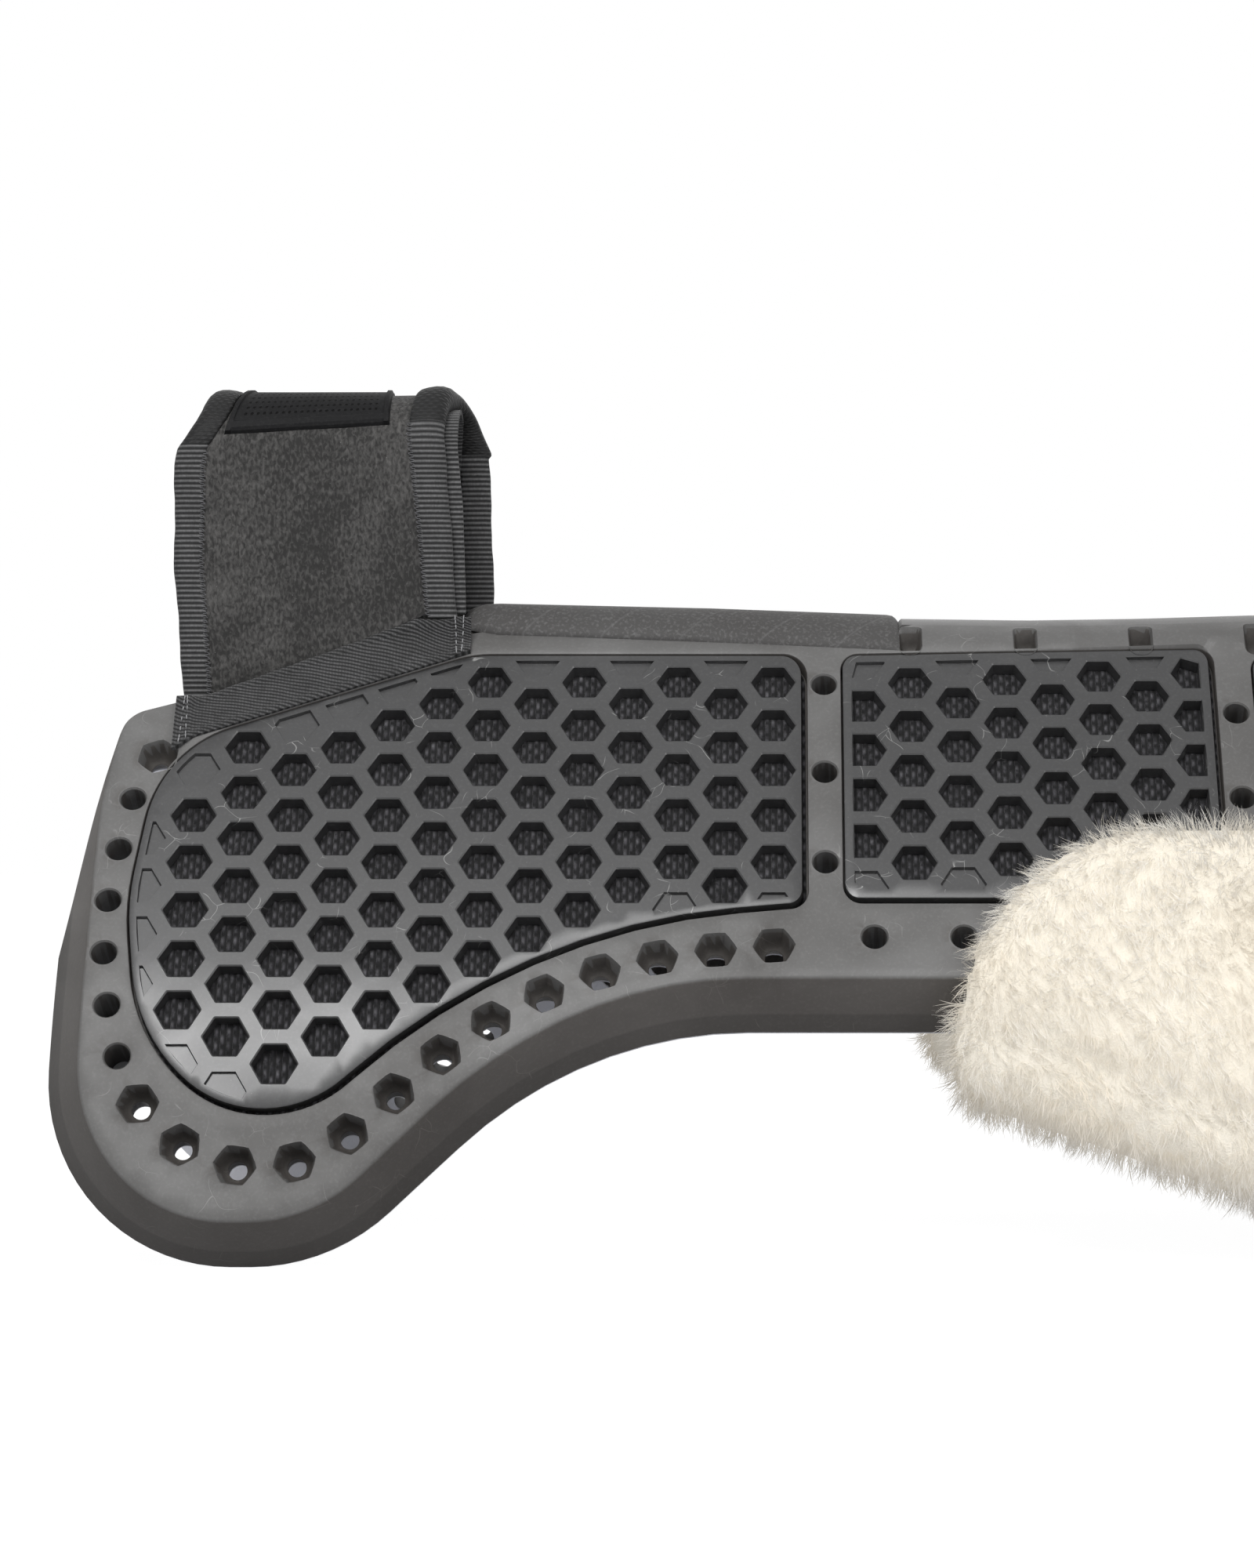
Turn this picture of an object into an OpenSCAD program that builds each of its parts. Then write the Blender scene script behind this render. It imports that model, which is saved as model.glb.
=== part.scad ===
// Shock-absorbing saddle half pad: two draped rubber panels joined by a flexible spine, with
// honeycomb shims in pockets, an adjustable wither strap and a fleece cover on each rear lobe.
// X runs along the spine from the withers (-X) to the rear (+X), the near panel is at -Y, Z is up.

/* [Overall] */
// Length of the pad from the front lobe to the rear of the fleece
pad_len = 562; // [516:1:616]
// Height of the spine's crown above the ground
crown_z = 216; // [210:1:222]
// Thickness of a rubber panel
panel_t = 19; // [17:0.5:21]

/* [Drape of the panels] */
// Radius of the crown over the spine, on the outer face
crown_r = 30; // [27:1:34]
// Radius of the outer face below the crown
upper_r = 1200; // [1050:50:1350]
// Radius of the outer face at the waist
waist_r = 200; // [185:5:215]
// Radius of the outer face down the lobes
skirt_r = 600; // [540:10:660]
// Tilt of the outer face from upright where the crown ends
crown_tilt = 38; // [36.5:0.5:39.5]
// Tilt of the outer face from upright above the waist
waist_tilt = 32; // [30.5:0.5:33.5]
// Tilt of the outer face from upright where the lobes start
lobe_tilt = 20; // [18.5:0.5:21.5]
// Tilt of the outer face from upright at the ground
foot_tilt = 14; // [12.5:0.5:15.5]
// Angle on each side of the top that the flexible spine strip covers
spine_half_angle = 23; // [20:1:26]

/* [Panel outline] */
// Height of the waist's lower edge
waist_z = 75.5; // [69:0.5:82]
// Radius of the front lobe's toe
toe_r = 63; // [56:1:67]
// Height at which the front edge leans back
front_lean_z = 147.5; // [142:0.5:152]
// Lean of the front edge from upright, in degrees
front_lean = 13.5; // [11:0.5:15]
// Distance from the front end to the lobe's rear corner
lobe_len = 98; // [91:1:105]
// Radius of the lobe's rear corner
heel_r = 67; // [55:1:75]
// Distance from the front end to where the waist begins
waist_start = 180; // [173:1:187]
// Radius between the lobe and the waist
waist_fillet = 142; // [122:1:157]
// Distance from the rear end to where the waist ends
waist_end = 246; // [239:1:253]
// Lowest edge of the rear lobe above the ground
rear_lobe_z = 12; // [10:1:15]
// Distance from the rear end to where the rear lobe's lower edge levels out
rear_lobe_len = 91; // [81:1:101]
// Radius of the rear lobe's corner
rear_toe_r = 60; // [50:1:66]
// Height of each of the two steps that lower the rim
rim_step = 6; // [4:0.5:7]
// Width of each of the two steps of the rim
rim_ledge = 6; // [4:0.5:7]

/* [Wither cut-out] */
// Distance from the strap to the front end of the spine
wither_gap = 10; // [9:0.5:14]
// Drop of the panel's top edge below the crown at the front end of the spine
wither_drop = 3; // [1.5:0.5:5]
// Rise of the panel's top edge towards the spine, in degrees
wither_slope = 13.5; // [12:0.25:15]
// Distance from the front end to the panel's upper front corner
front_corner_in = 19.5; // [18:0.5:22]
// Radius of the panel's upper front corner
front_corner_r = 12; // [8:1:14]

/* [Shims and pockets] */
// Thickness of a honeycomb shim
shim_t = 5; // [4:0.5:8]
// Clearance around a shim in its pocket
pocket_gap = 1.2; // [0.8:0.1:1.8]
// Thickness of the woven lining on a pocket's floor and of the knit on the inner face
lining_t = 0.8; // [0.6:0.1:1.2]
// Distance between the honeycomb's rows
comb_pitch = 19; // [18.5:0.1:20]
// Width of a honeycomb cell across its corners
cell_w = 15.4; // [13:0.1:16]
// Rubber left between a cell and the shim's edge
cell_margin = 2.2; // [1.6:0.1:3.2]
// Radius of the square corners of the shims
shim_corner_r = 5; // [3:0.5:8]

/* [Rim holes] */
// Diameter of the plain vent holes
vent_d = 8.7; // [7.5:0.1:9.5]
// Width of the hexagonal cups across their corners
cup_w = 14; // [12:0.1:15]
// Depth of the hexagonal cups
cup_depth = 9; // [7:0.5:10]
// Diameter of the hole in the floor of a cup
cup_bore_d = 6; // [5:0.1:7]
// Distance between the cups
cup_pitch = 19.6; // [18.5:0.1:22]
// Distance between the plain vents along the toe
vent_pitch = 17.2; // [16:0.1:19]
// Width of the notches along the spine
notch_d = 7.5; // [6:0.1:9]
// Distance between the notches along the spine
notch_pitch = 40.5; // [38:0.5:44]

/* [Wither facing] */
// Thickness of the grained facing over the withers
facing_t = 3; // [2:0.5:4]
// Length of the facing along the spine
facing_len = 143; // [140:1:146]

/* [Wither strap] */
// Width of the strap along the pad
strap_w = 100; // [92:1:104]
// Distance from the front end to the strap
strap_in = 35; // [33:1:39]
// Thickness of the strap
strap_t = 4; // [3:0.5:5]
// Bevel under each leg, which lets it lean on its seam, in degrees
foot_bevel = 32; // [30:1:36]
// Radius of the fold at the top of the strap, on its outer face
fold_r = 20; // [18:0.5:22]
// Height of the top of the strap above the crown
strap_rise = 81; // [69:1:94]
// Width of the grosgrain binding
binding_w = 11; // [9:0.5:13]
// How far the binding stands out from the strap's faces
binding_rise = 0.8; // [0.5:0.1:1.2]
// Width of the twill tab tape
tab_w = 7; // [6:0.5:8]
// Thickness of the twill tab tape
tab_t = 1.2; // [0.8:0.1:1.6]
// Thickness of the hook tail behind the near leg
tail_t = 1.6; // [1.2:0.1:2]
// Thickness of the loop tape on the near leg
loop_t = 0.8; // [0.6:0.1:1.2]
// Width of the badge along the strap's edge
badge_w = 56; // [45:1:60]
// Thickness of the badge
badge_t = 1.8; // [1.2:0.1:2.4]
// Angle of the fold that the badge covers
badge_angle = 84; // [60:1:100]

/* [Fleece cover] */
// Length of the fleece cover along the pad
fleece_len = 266; // [261:1:271]
// Distance from the crown down to the fleece cover's upper edge
fleece_drop = 69; // [66:1:78]
// Radius of the fleece cover's upper front corner
fleece_corner_r = 62; // [50:1:66]
// Thickness of the fleece pile
pile_t = 14; // [11:0.5:16]
// Thickness of the knitted backing
backing_t = 1.6; // [1.2:0.1:2.4]
// Thickness of the hook tape that holds the cover
hook_t = 1; // [0.8:0.1:1.4]
// Width of the hook tape
hook_w = 8; // [6:0.5:9]

/* [Hidden] */

$fn = 48;
seat_gap = 0.3;                  // between soft pieces that may move apart
far = 400;                       // reaches past the whole pad
nose_in = 2;                     // how far the lobe's front edge lies behind the front datum
front_x = -pad_len / 2 - nose_in;
rear_x = pad_len / 2;
fleece_over = 9;                 // how far the fleece wraps past the panel's rear edge
panel_rear_x = rear_x - fleece_over;
arc_step = 9;                    // degrees in one side of a rounded corner
waist_end_r = 60;
front_lean_r = 134;
lobe_heel_x = front_x + lobe_len;
waist_x = front_x + waist_start;
waist_end_x = rear_x - waist_end;
rear_heel_x = rear_x - rear_lobe_len;
front_corner_x = front_x + front_corner_in;
strap_x = front_x + strap_in;
strap_end_x = strap_x + strap_w;
wither_x = strap_end_x + wither_gap;
facing_end_x = wither_x + facing_len;
fleece_x = rear_x - fleece_len;
fleece_top_z = crown_z - fleece_drop;
wither_z = crown_z - wither_drop;
strap_top_z = crown_z + strap_rise;
seat = seat_gap + lining_t + seat_gap;  // what lies between a shim and its pocket's floor

// ---- The draped face: arcs of given radius between given tilts ----
radii = [crown_r, upper_r, waist_r, skirt_r];
tilts = [90 - spine_half_angle, crown_tilt, waist_tilt, lobe_tilt, foot_tilt];
sides = [3, 5, 5, 3];
tail_len = 40;                   // straight run below the last arc

// Height and reach of the outer face where arc i starts
function start_z(i) = i == 0
    ? crown_z - crown_r * (1 - sin(tilts[0]))
    : start_z(i - 1) - radii[i - 1] * (sin(tilts[i - 1]) - sin(tilts[i]));
function start_y(i) = i == 0
    ? -crown_r * cos(tilts[0])
    : start_y(i - 1) - radii[i - 1] * (cos(tilts[i]) - cos(tilts[i - 1]));

// Point at tilt t on arc i, a distance d outside the outer face
function arc_point(i, t, d) = [
    start_y(i) - radii[i] * (cos(t) - cos(tilts[i])) - d * cos(t),
    start_z(i) - radii[i] * (sin(tilts[i]) - sin(t)) + d * sin(t)
];
function arc_run(i, d) = [
    for (k = [i == 0 ? 0 : 1 : sides[i]])
        arc_point(i, tilts[i] + (tilts[i + 1] - tilts[i]) * k / sides[i], d)
];
function face_path(d) = concat(
    arc_run(0, d), arc_run(1, d), arc_run(2, d), arc_run(3, d),
    [arc_point(3, foot_tilt, d) + tail_len * [-sin(foot_tilt), -cos(foot_tilt)]]
);
function reversed(list) = [for (k = [len(list) - 1 : -1 : 0]) list[k]];

// Arc that holds height z, and the tilt of the face there
function arc_at_z(z, i = 0) = i == 3 || z >= start_z(i + 1) ? i : arc_at_z(z, i + 1);
function tilt_at_z(z) = let (i = arc_at_z(z))
    asin(sin(tilts[i]) - (start_z(i) - z) / radii[i]);

// Length along the face from the crown's top to the start of arc i, and tilt a length s from the top
function start_s(i) = i == 0
    ? crown_r * spine_half_angle * PI / 180
    : start_s(i - 1) + radii[i - 1] * (tilts[i - 1] - tilts[i]) * PI / 180;
function arc_at_s(s, i = 0) = i == 3 || s < start_s(i + 1) ? i : arc_at_s(s, i + 1);
function face_at_s(s) = let (i = arc_at_s(s), t = tilts[i] - (s - start_s(i)) / radii[i] * 180 / PI)
    concat(arc_point(i, t, 0), [t]);

// ---- Rounded outlines: corners are [x, z, radius] ----
function unit(v) = v / norm(v);
function corner_arc(before, corner, after) = let (
    p = [corner[0], corner[1]],
    u = unit([before[0], before[1]] - p),
    v = unit([after[0], after[1]] - p),
    half = acos(max(-1, min(1, u * v))) / 2,
    r = corner[2],
    centre = p + unit(u + v) * r / sin(half),
    turn = u[0] * v[1] - u[1] * v[0] > 0 ? -1 : 1,
    sweep = 180 - 2 * half,
    first = p + u * r / tan(half) - centre,
    n = max(1, ceil(sweep / arc_step))
) r == 0 ? [p] : [
    for (k = [0 : n]) let (a = turn * sweep * k / n)
        centre + [first[0] * cos(a) - first[1] * sin(a), first[0] * sin(a) + first[1] * cos(a)]
];
function rounded(corners) = let (n = len(corners)) [
    for (i = [0 : n - 1]) each corner_arc(corners[(i + n - 1) % n], corners[i], corners[(i + 1) % n])
];
function open_rounded(corners) = let (n = len(corners)) concat(
    [[corners[0][0], corners[0][1]]],
    [for (i = [1 : 1 : n - 2]) each corner_arc(corners[i - 1], corners[i], corners[i + 1])],
    [[corners[n - 1][0], corners[n - 1][1]]]
);

// Corners moved in by t. They run anticlockwise, so a left turn is an outer corner and tightens.
function left_of(a, b) = let (d = unit([b[0] - a[0], b[1] - a[1]])) [-d[1], d[0]];
function inset(corners, t) = let (n = len(corners)) [
    for (i = [0 : n - 1]) let (
        c = corners[i],
        a = left_of(corners[(i + n - 1) % n], c),
        b = left_of(c, corners[(i + 1) % n]),
        mitre = (a + b) * t / (1 + a * b),
        is_outer = a[0] * b[1] - a[1] * b[0] > 0
    ) [c[0] + mitre[0], c[1] + mitre[1], c[2] == 0 ? 0 : c[2] + (is_outer ? -t : t)]
];

// Points spaced evenly along a path
function path_len(path, upto) = upto == 0 ? 0 : path_len(path, upto - 1) + norm(path[upto] - path[upto - 1]);
function point_along(path, s, i = 1) = let (step = norm(path[i] - path[i - 1]))
    s <= step || i == len(path) - 1
        ? path[i - 1] + (path[i] - path[i - 1]) * s / step
        : point_along(path, s - step, i + 1);
function spaced(path, from, pitch, to) = [for (s = [from : pitch : to]) point_along(path, s)];

// Distance from a point to an outline, and whether the point is inside
function edge_distance(p, a, b) = let (
    ab = b - a,
    k = max(0, min(1, (p - a) * ab / (ab * ab)))
) norm(p - a - ab * k);
function outline_distance(p, path) = let (n = len(path))
    min([for (i = [0 : n - 1]) edge_distance(p, path[i], path[(i + 1) % n])]);
function crossings(p, path) = let (n = len(path)) [
    for (i = [0 : n - 1]) let (a = path[i], b = path[(i + 1) % n])
        if ((a[1] > p[1]) != (b[1] > p[1]))
            if (p[0] < (b[0] - a[0]) * (p[1] - a[1]) / (b[1] - a[1]) + a[0]) 1
];
function inside(p, path) = len(crossings(p, path)) % 2 == 1;

// ---- Outlines in the XZ plane ----
panel_corners = [
    [front_x + nose_in, 0, toe_r],
    [lobe_heel_x, 0, heel_r],
    [waist_x, waist_z, waist_fillet],
    [waist_end_x, waist_z, waist_end_r],
    [rear_heel_x, rear_lobe_z, heel_r],
    [panel_rear_x, rear_lobe_z, rear_toe_r],
    [panel_rear_x, far, 0],
    [front_x + nose_in + (far - front_lean_z) * tan(front_lean), far, 0],
    [front_x + nose_in, front_lean_z, front_lean_r]
];

// Height of the wither edge at x
function wither_edge(x) = wither_z + (x - wither_x) * tan(wither_slope);
strip_gap_angle = 0.2;           // keeps the spine strip clear of the panels
over = 8;                        // how far a cutting outline reaches past what it cuts
rear_corner_r = 46;
top_limit = rounded([
    [front_x - over, -far, 0],
    [far, -far, 0],
    [far, 40, 0],
    [panel_rear_x - over, crown_z + over, rear_corner_r],
    [wither_x, crown_z + over, 0],
    [wither_x, wither_z, 0],
    [front_corner_x, wither_edge(front_corner_x), front_corner_r],
    [front_x - 1, front_lean_z - 50.5, 0]
]);

web = 14.3;                        // rubber between two pockets
shim_top_z = crown_z - 12.4;
shim_low_z = waist_z + 43.3;
middle_shim_x = -14.5;
middle_shim_len = 128;
front_shim_rear_x = middle_shim_x - web;
middle_shim_end_x = middle_shim_x + middle_shim_len;
rear_shim_x = middle_shim_end_x + web + 1;
lobe_border = 35;                // height of the ring of cups above each lobe's lowest edge

// Upper edge of the front shim, clear of the tab tape
function front_shim_edge(x) = wither_edge(x) - tab_w - pocket_gap - 7.5;
front_shim_corners = [
    [front_shim_rear_x, shim_low_z, shim_corner_r],
    [front_shim_rear_x, shim_top_z, shim_corner_r + 2],
    [wither_x - 6, shim_top_z, heel_r * 0.6],
    [front_corner_x + 14.5, front_shim_edge(front_corner_x + 14.5), toe_r * 0.6],
    [front_x + 27.2, front_lean_z - 28.4, heel_r * 1.08],
    [front_x + 34, lobe_border + 41.6, toe_r * 0.91],
    [lobe_heel_x - 22, lobe_border + 3, heel_r * 0.6],
    [waist_x - 21, waist_z + 35.4, waist_fillet * 1.56]
];
middle_shim_corners = [
    [middle_shim_x, shim_low_z + 1.4, shim_corner_r],
    [middle_shim_end_x, shim_low_z + 1.4, shim_corner_r],
    [middle_shim_end_x, shim_top_z + 2.4, shim_corner_r],
    [middle_shim_x, shim_top_z, shim_corner_r]
];
rear_shim_corners = [
    [rear_shim_x, shim_low_z - 14.8, shim_corner_r],
    [rear_heel_x + 10, rear_lobe_z + 38, heel_r * 0.4],
    [panel_rear_x - 22, rear_lobe_z + 38, rear_toe_r * 0.6],
    [panel_rear_x - 22, shim_top_z, rear_corner_r - 6],
    [rear_shim_x, shim_top_z, shim_corner_r]
];

// Line that the cups and vents follow round each lobe
front_ring = open_rounded([
    [front_shim_rear_x + 3.7, waist_z + 30.8, 0],
    [waist_x - 12.6, waist_z + 24.3, waist_fillet * 1.18],
    [lobe_heel_x - 1.5, lobe_border + 2.9, heel_r * 0.46],
    [front_x + 41.4, lobe_border - 10.8, toe_r * 0.785],
    [front_x + 16, front_lean_z - 42, heel_r * 1.96],
    [front_corner_x + 8.5, crown_z - 45.8, 0]
]);
rear_ring = open_rounded([
    [waist_end_x + 10, waist_z + 30.5, 0],
    [(waist_end_x + rear_heel_x) / 2 - 14, waist_z + 10.5, heel_r * 0.6],
    [rear_heel_x + 2, rear_lobe_z + 22, heel_r * 0.6],
    [panel_rear_x - 11, rear_lobe_z + 22, rear_toe_r - 22],
    [panel_rear_x - 11, crown_z - 40, 0]
]);
front_cups = 13;
front_vents = 6;
ring_start = 14;
toe_start = ring_start + cup_pitch * (front_cups - 1) + vent_pitch;
front_web_x = (front_shim_rear_x + middle_shim_x) / 2;
rear_web_x = (middle_shim_end_x + rear_shim_x) / 2;
strip_vents = [for (k = [0 : 2]) each [[front_web_x, crown_z - 22 - 30.5 * k], [rear_web_x, crown_z - 32 - 29.2 * k]]];
waist_vents = [for (x = [middle_shim_x + 9, middle_shim_x + 39]) [x, waist_z + 32.7]];

fleece_corners = [
    [fleece_x, waist_z - 19.5, 18],
    [rear_heel_x - 12, 0, 2 * rear_toe_r],
    [rear_x, 0, rear_toe_r * 0.77],
    [rear_x, fleece_top_z, rear_toe_r * 0.4],
    [fleece_x, fleece_top_z, fleece_corner_r]
];

// ---- Basic solids ----
// Layer of the near side between distances d0 and d1 outside the outer face
module layer(d0, d1) {
    translate([-far, 0, 0])
        rotate([90, 0, 90])
            linear_extrude(2 * far)
                polygon(concat(face_path(d1), reversed(face_path(d0))));
}

// Outline in the XZ plane carried through the near side
module through(outline) {
    rotate([90, 0, 0])
        linear_extrude(far)
            polygon(outline);
}

module layer_cut(d0, d1, outline) {
    intersection() {
        layer(d0, d1);
        through(outline);
    }
}

// Puts children on the outer face at x and height z, with Z along the face's outward normal
module on_face(x, z) {
    t = tilt_at_z(z);
    p = arc_point(arc_at_z(z), t, 0);
    translate([x, p[0], p[1]]) rotate([90 - t, 0, 0]) children();
}

module drilled(d, depth) {
    translate([0, 0, -depth]) cylinder(d = d, h = 2 * depth);
}

// ---- Panels ----
module rim_holes() {
    for (p = spaced(front_ring, ring_start, cup_pitch, ring_start + cup_pitch * (front_cups - 0.5))) cup(p);
    for (p = spaced(front_ring, toe_start, vent_pitch, toe_start + vent_pitch * (front_vents - 0.5))) vent(p);
    cup([front_corner_x + 12.7, crown_z - 47.2]);
    for (p = spaced(rear_ring, 0, cup_pitch, path_len(rear_ring, len(rear_ring) - 1))) cup(p);
    for (p = strip_vents) vent(p);
    for (p = waist_vents) vent(p);
}

module vent(p) {
    on_face(p[0], p[1]) drilled(vent_d, 2 * panel_t);
}

module cup(p) {
    on_face(p[0], p[1]) {
        drilled(cup_bore_d, 2 * panel_t);
        translate([0, 0, -cup_depth]) cylinder(d = cup_w, h = 2 * cup_depth, $fn = 6);
    }
}

module spine_notches() {
    for (x = [facing_end_x + notch_d / 2 : notch_pitch : panel_rear_x - 40])
        translate([x, start_y(1) + notch_d * 0.4, start_z(1) - 1]) cylinder(d = notch_d, h = far);
}

module panel() {
    color([0.43, 0.42, 0.41]) difference() {
        intersection() {
            union() {
                layer_cut(lining_t - panel_t, -2 * rim_step, rounded(panel_corners));
                layer_cut(-2 * rim_step, -rim_step, rounded(inset(panel_corners, rim_ledge)));
                layer_cut(-rim_step, 0, rounded(inset(panel_corners, 2 * rim_ledge)));
            }
            through(top_limit);
        }
        for (corners = [front_shim_corners, middle_shim_corners, rear_shim_corners])
            layer_cut(-shim_t - seat, 2, rounded(inset(corners, -pocket_gap)));
        rim_holes();
        spine_notches();
    }
}

// Knit on the panel's inner face, with the same holes
module under_lining() {
    color([0.80, 0.80, 0.82]) difference() {
        intersection() {
            layer_cut(-panel_t, lining_t - panel_t, rounded(panel_corners));
            through(top_limit);
        }
        rim_holes();
    }
}

// Flexible strip over the spine, thicker under the grained facing
module spine_strip() {
    color([0.40, 0.39, 0.38]) intersection() {
        union() {
            spine_run(wither_x, panel_rear_x, 0);
            spine_run(wither_x, facing_end_x, facing_t);
        }
        translate([0, far / 2, 0]) through(top_limit);
    }
}

module spine_run(x0, x1, rise) {
    n = 4;
    half = spine_half_angle - strip_gap_angle;
    top = [for (k = [-n : n]) let (a = half * k / n)
        [(crown_r + rise) * sin(a), crown_z - crown_r + (crown_r + rise) * cos(a)]];
    under = [for (k = [n : -1 : -n]) let (a = half * k / n)
        [(crown_r - panel_t) * sin(a), crown_z - crown_r + (crown_r - panel_t) * cos(a)]];
    translate([x0, 0, 0]) rotate([90, 0, 90]) linear_extrude(x1 - x0) polygon(concat(top, under));
}

module wither_facing() {
    color([0.36, 0.35, 0.34]) layer_cut(0, facing_t, [
        [wither_x, wither_z - 2],
        [facing_end_x - 8, shim_top_z - 0.5 + pocket_gap],
        [facing_end_x, shim_top_z + 4],
        [facing_end_x, far],
        [wither_x, far]
    ]);
}

// ---- Shims ----
// Middle of each comb's first cell: its x and its run down from the crown
front_comb = [-39.3, 39.6];
middle_comb = [8.4, 39.9];
rear_comb = [140.5, 39.9];
comb_step = comb_pitch * sqrt(3) / 2;
// Whether a cell lies wholly inside an outline
function cell_fits(x, f, outline) =
    inside([x, f[1]], outline)
    && outline_distance([x, f[1]], outline) >= cell_w * sqrt(3) / 4 * cos(f[2]) + cell_margin;

module comb_cells(outline, origin, first, last) {
    for (k = [first : last], j = [0 : 9]) {
        x = origin[0] + k * comb_step;
        f = face_at_s(origin[1] + (j + (k % 2 == 0 ? 0 : 0.5)) * comb_pitch);
        if (cell_fits(x, f, outline))
            translate([x, f[0], f[1]]) rotate([90 - f[2], 0, 0]) translate([0, 0, -2 * shim_t])
                cylinder(d = cell_w, h = 4 * shim_t, $fn = 6);
    }
}

module shim(corners, origin, first, last) {
    outline = rounded(corners);
    color([0.25, 0.25, 0.25]) difference() {
        layer_cut(-shim_t - seat_gap, -seat_gap, outline);
        comb_cells(outline, origin, first, last);
    }
}

module front_shim() { shim(front_shim_corners, front_comb, -13, 0); }
module middle_shim() { shim(middle_shim_corners, middle_comb, 0, 6); }
module rear_shim() { shim(rear_shim_corners, rear_comb, 0, 7); }

module lining(corners) {
    color([0.28, 0.28, 0.29])
        layer_cut(-shim_t - seat, lining_t - shim_t - seat, rounded(inset(corners, -pocket_gap / 2)));
}

// ---- Wither strap ----
fold_z = strap_top_z - fold_r;
leg_y = fold_r - strap_t;        // inner face of a leg

module tab_tape() {
    x0 = strap_x - 3;
    x1 = strap_end_x + 7;
    color([0.22, 0.22, 0.22]) layer_cut(0, tab_t, [
        [x0, wither_edge(x0) - tab_w],
        [x1, wither_edge(x1) - tab_w],
        [x1, wither_edge(x1)],
        [x0, wither_edge(x0)]
    ]);
}

// Upright piece of the near leg from x0 to x1, between y0 and y1 towards the near side.
// Its foot is bevelled on both sides of the seam line along the middle of the strap.
module upright(x0, x1, y0, y1, top) {
    difference() {
        translate([0, -y0, 0]) rotate([90, 0, 0]) linear_extrude(y1 - y0) polygon([
            [x0, wither_edge(x0) + seat_gap],
            [x1, wither_edge(x1) + seat_gap],
            [x1, top],
            [x0, top]
        ]);
        for (side = [0, 1])
            translate([strap_x, -leg_y - strap_t / 2, wither_edge(strap_x) + seat_gap])
                rotate([0, -wither_slope, 0]) mirror([0, side, 0]) rotate([foot_bevel, 0, 0])
                    translate([-strap_w, 0, -strap_w]) cube([3 * strap_w, strap_w, strap_w]);
    }
}

module leg() {
    color([0.24, 0.24, 0.24]) upright(strap_x + binding_w, strap_end_x - binding_w, leg_y, fold_r, fold_z);
}

module leg_binding(x0) {
    color([0.18, 0.18, 0.18]) upright(x0, x0 + binding_w, leg_y - binding_rise, fold_r + binding_rise, fold_z);
}

module loop_tape() {
    color([0.15, 0.15, 0.15])
        upright(strap_x + binding_w + 1, strap_end_x - binding_w - 1, leg_y - loop_t, leg_y, fold_z - 5);
}

// Part of the fold between angles from and to, measured from the near side over the top
module fold_run(x0, x1, r0, r1, from, to) {
    n = 12;
    outer = [for (k = [0 : n]) let (a = from + (to - from) * k / n) [-r1 * cos(a), fold_z + r1 * sin(a)]];
    inner = [for (k = [n : -1 : 0]) let (a = from + (to - from) * k / n) [-r0 * cos(a), fold_z + r0 * sin(a)]];
    translate([x0, 0, 0]) rotate([90, 0, 90]) linear_extrude(x1 - x0) polygon(concat(outer, inner));
}

module strap_fold() {
    color([0.24, 0.24, 0.24]) fold_run(strap_x + binding_w, strap_end_x - binding_w, leg_y, fold_r, 0, 180);
}

module fold_binding(x0) {
    color([0.18, 0.18, 0.18]) fold_run(x0, x0 + binding_w, leg_y - binding_rise, fold_r + binding_rise, 0, 180);
}

module strap_badge() {
    middle = strap_x + strap_w / 2;
    color([0.12, 0.12, 0.12])
        fold_run(middle - badge_w / 2, middle + badge_w / 2, fold_r, fold_r + badge_t, 30, 30 + badge_angle);
}

// Tail from the off leg, under the fold and down behind the near leg's loop tape
module hook_tail() {
    x0 = strap_x + binding_w + 2;
    x1 = strap_end_x - binding_w - 2;
    outer = leg_y - loop_t - seat_gap;
    root_h = 12;
    color([0.14, 0.14, 0.14]) {
        union() {
            fold_run(x0, x1, outer - tail_t, outer, 0, 180);
            upright(x0, x1, outer - tail_t, outer, fold_z);
            translate([x0, outer - tail_t, fold_z - root_h]) cube([x1 - x0, leg_y - outer + tail_t, root_h]);
        }
    }
}

// ---- Fleece cover ----
backing_d = hook_t + seat_gap;

// Strip along the rear lobe's flat border, just inside the rim
module hook_tape() {
    edge = 2 * rim_ledge + 0.5;
    start_x = fleece_x + 45;
    top_z = fleece_top_z - 17;
    color([0.10, 0.10, 0.10]) difference() {
        layer_cut(0, hook_t, rounded(inset(panel_corners, edge)));
        layer_cut(-1, hook_t + 1, rounded(inset(panel_corners, edge + hook_w)));
        layer_cut(-1, hook_t + 1, [[-far, -far], [start_x, -far], [start_x, far], [-far, far]]);
        layer_cut(-1, hook_t + 1, [[-far, top_z], [far, top_z], [far, far], [-far, far]]);
    }
}

module fleece_backing() {
    color([0.85, 0.84, 0.80])
        layer_cut(backing_d, backing_d + backing_t, rounded(inset(fleece_corners, 3)));
}

module fleece_pile() {
    color([0.96, 0.95, 0.91]) difference() {
        union() {
            layer_cut(backing_d + backing_t, backing_d + backing_t + pile_t, rounded(fleece_corners));
            layer_cut(-panel_t, backing_d + backing_t, rounded(fleece_corners));
        }
        layer_cut(-panel_t - 1, 0, rounded(inset(panel_corners, -seat_gap)));
        layer_cut(-1, backing_d + backing_t, rounded(inset(fleece_corners, 3)));
    }
}

module off() { mirror([0, 1, 0]) children(); }

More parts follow.
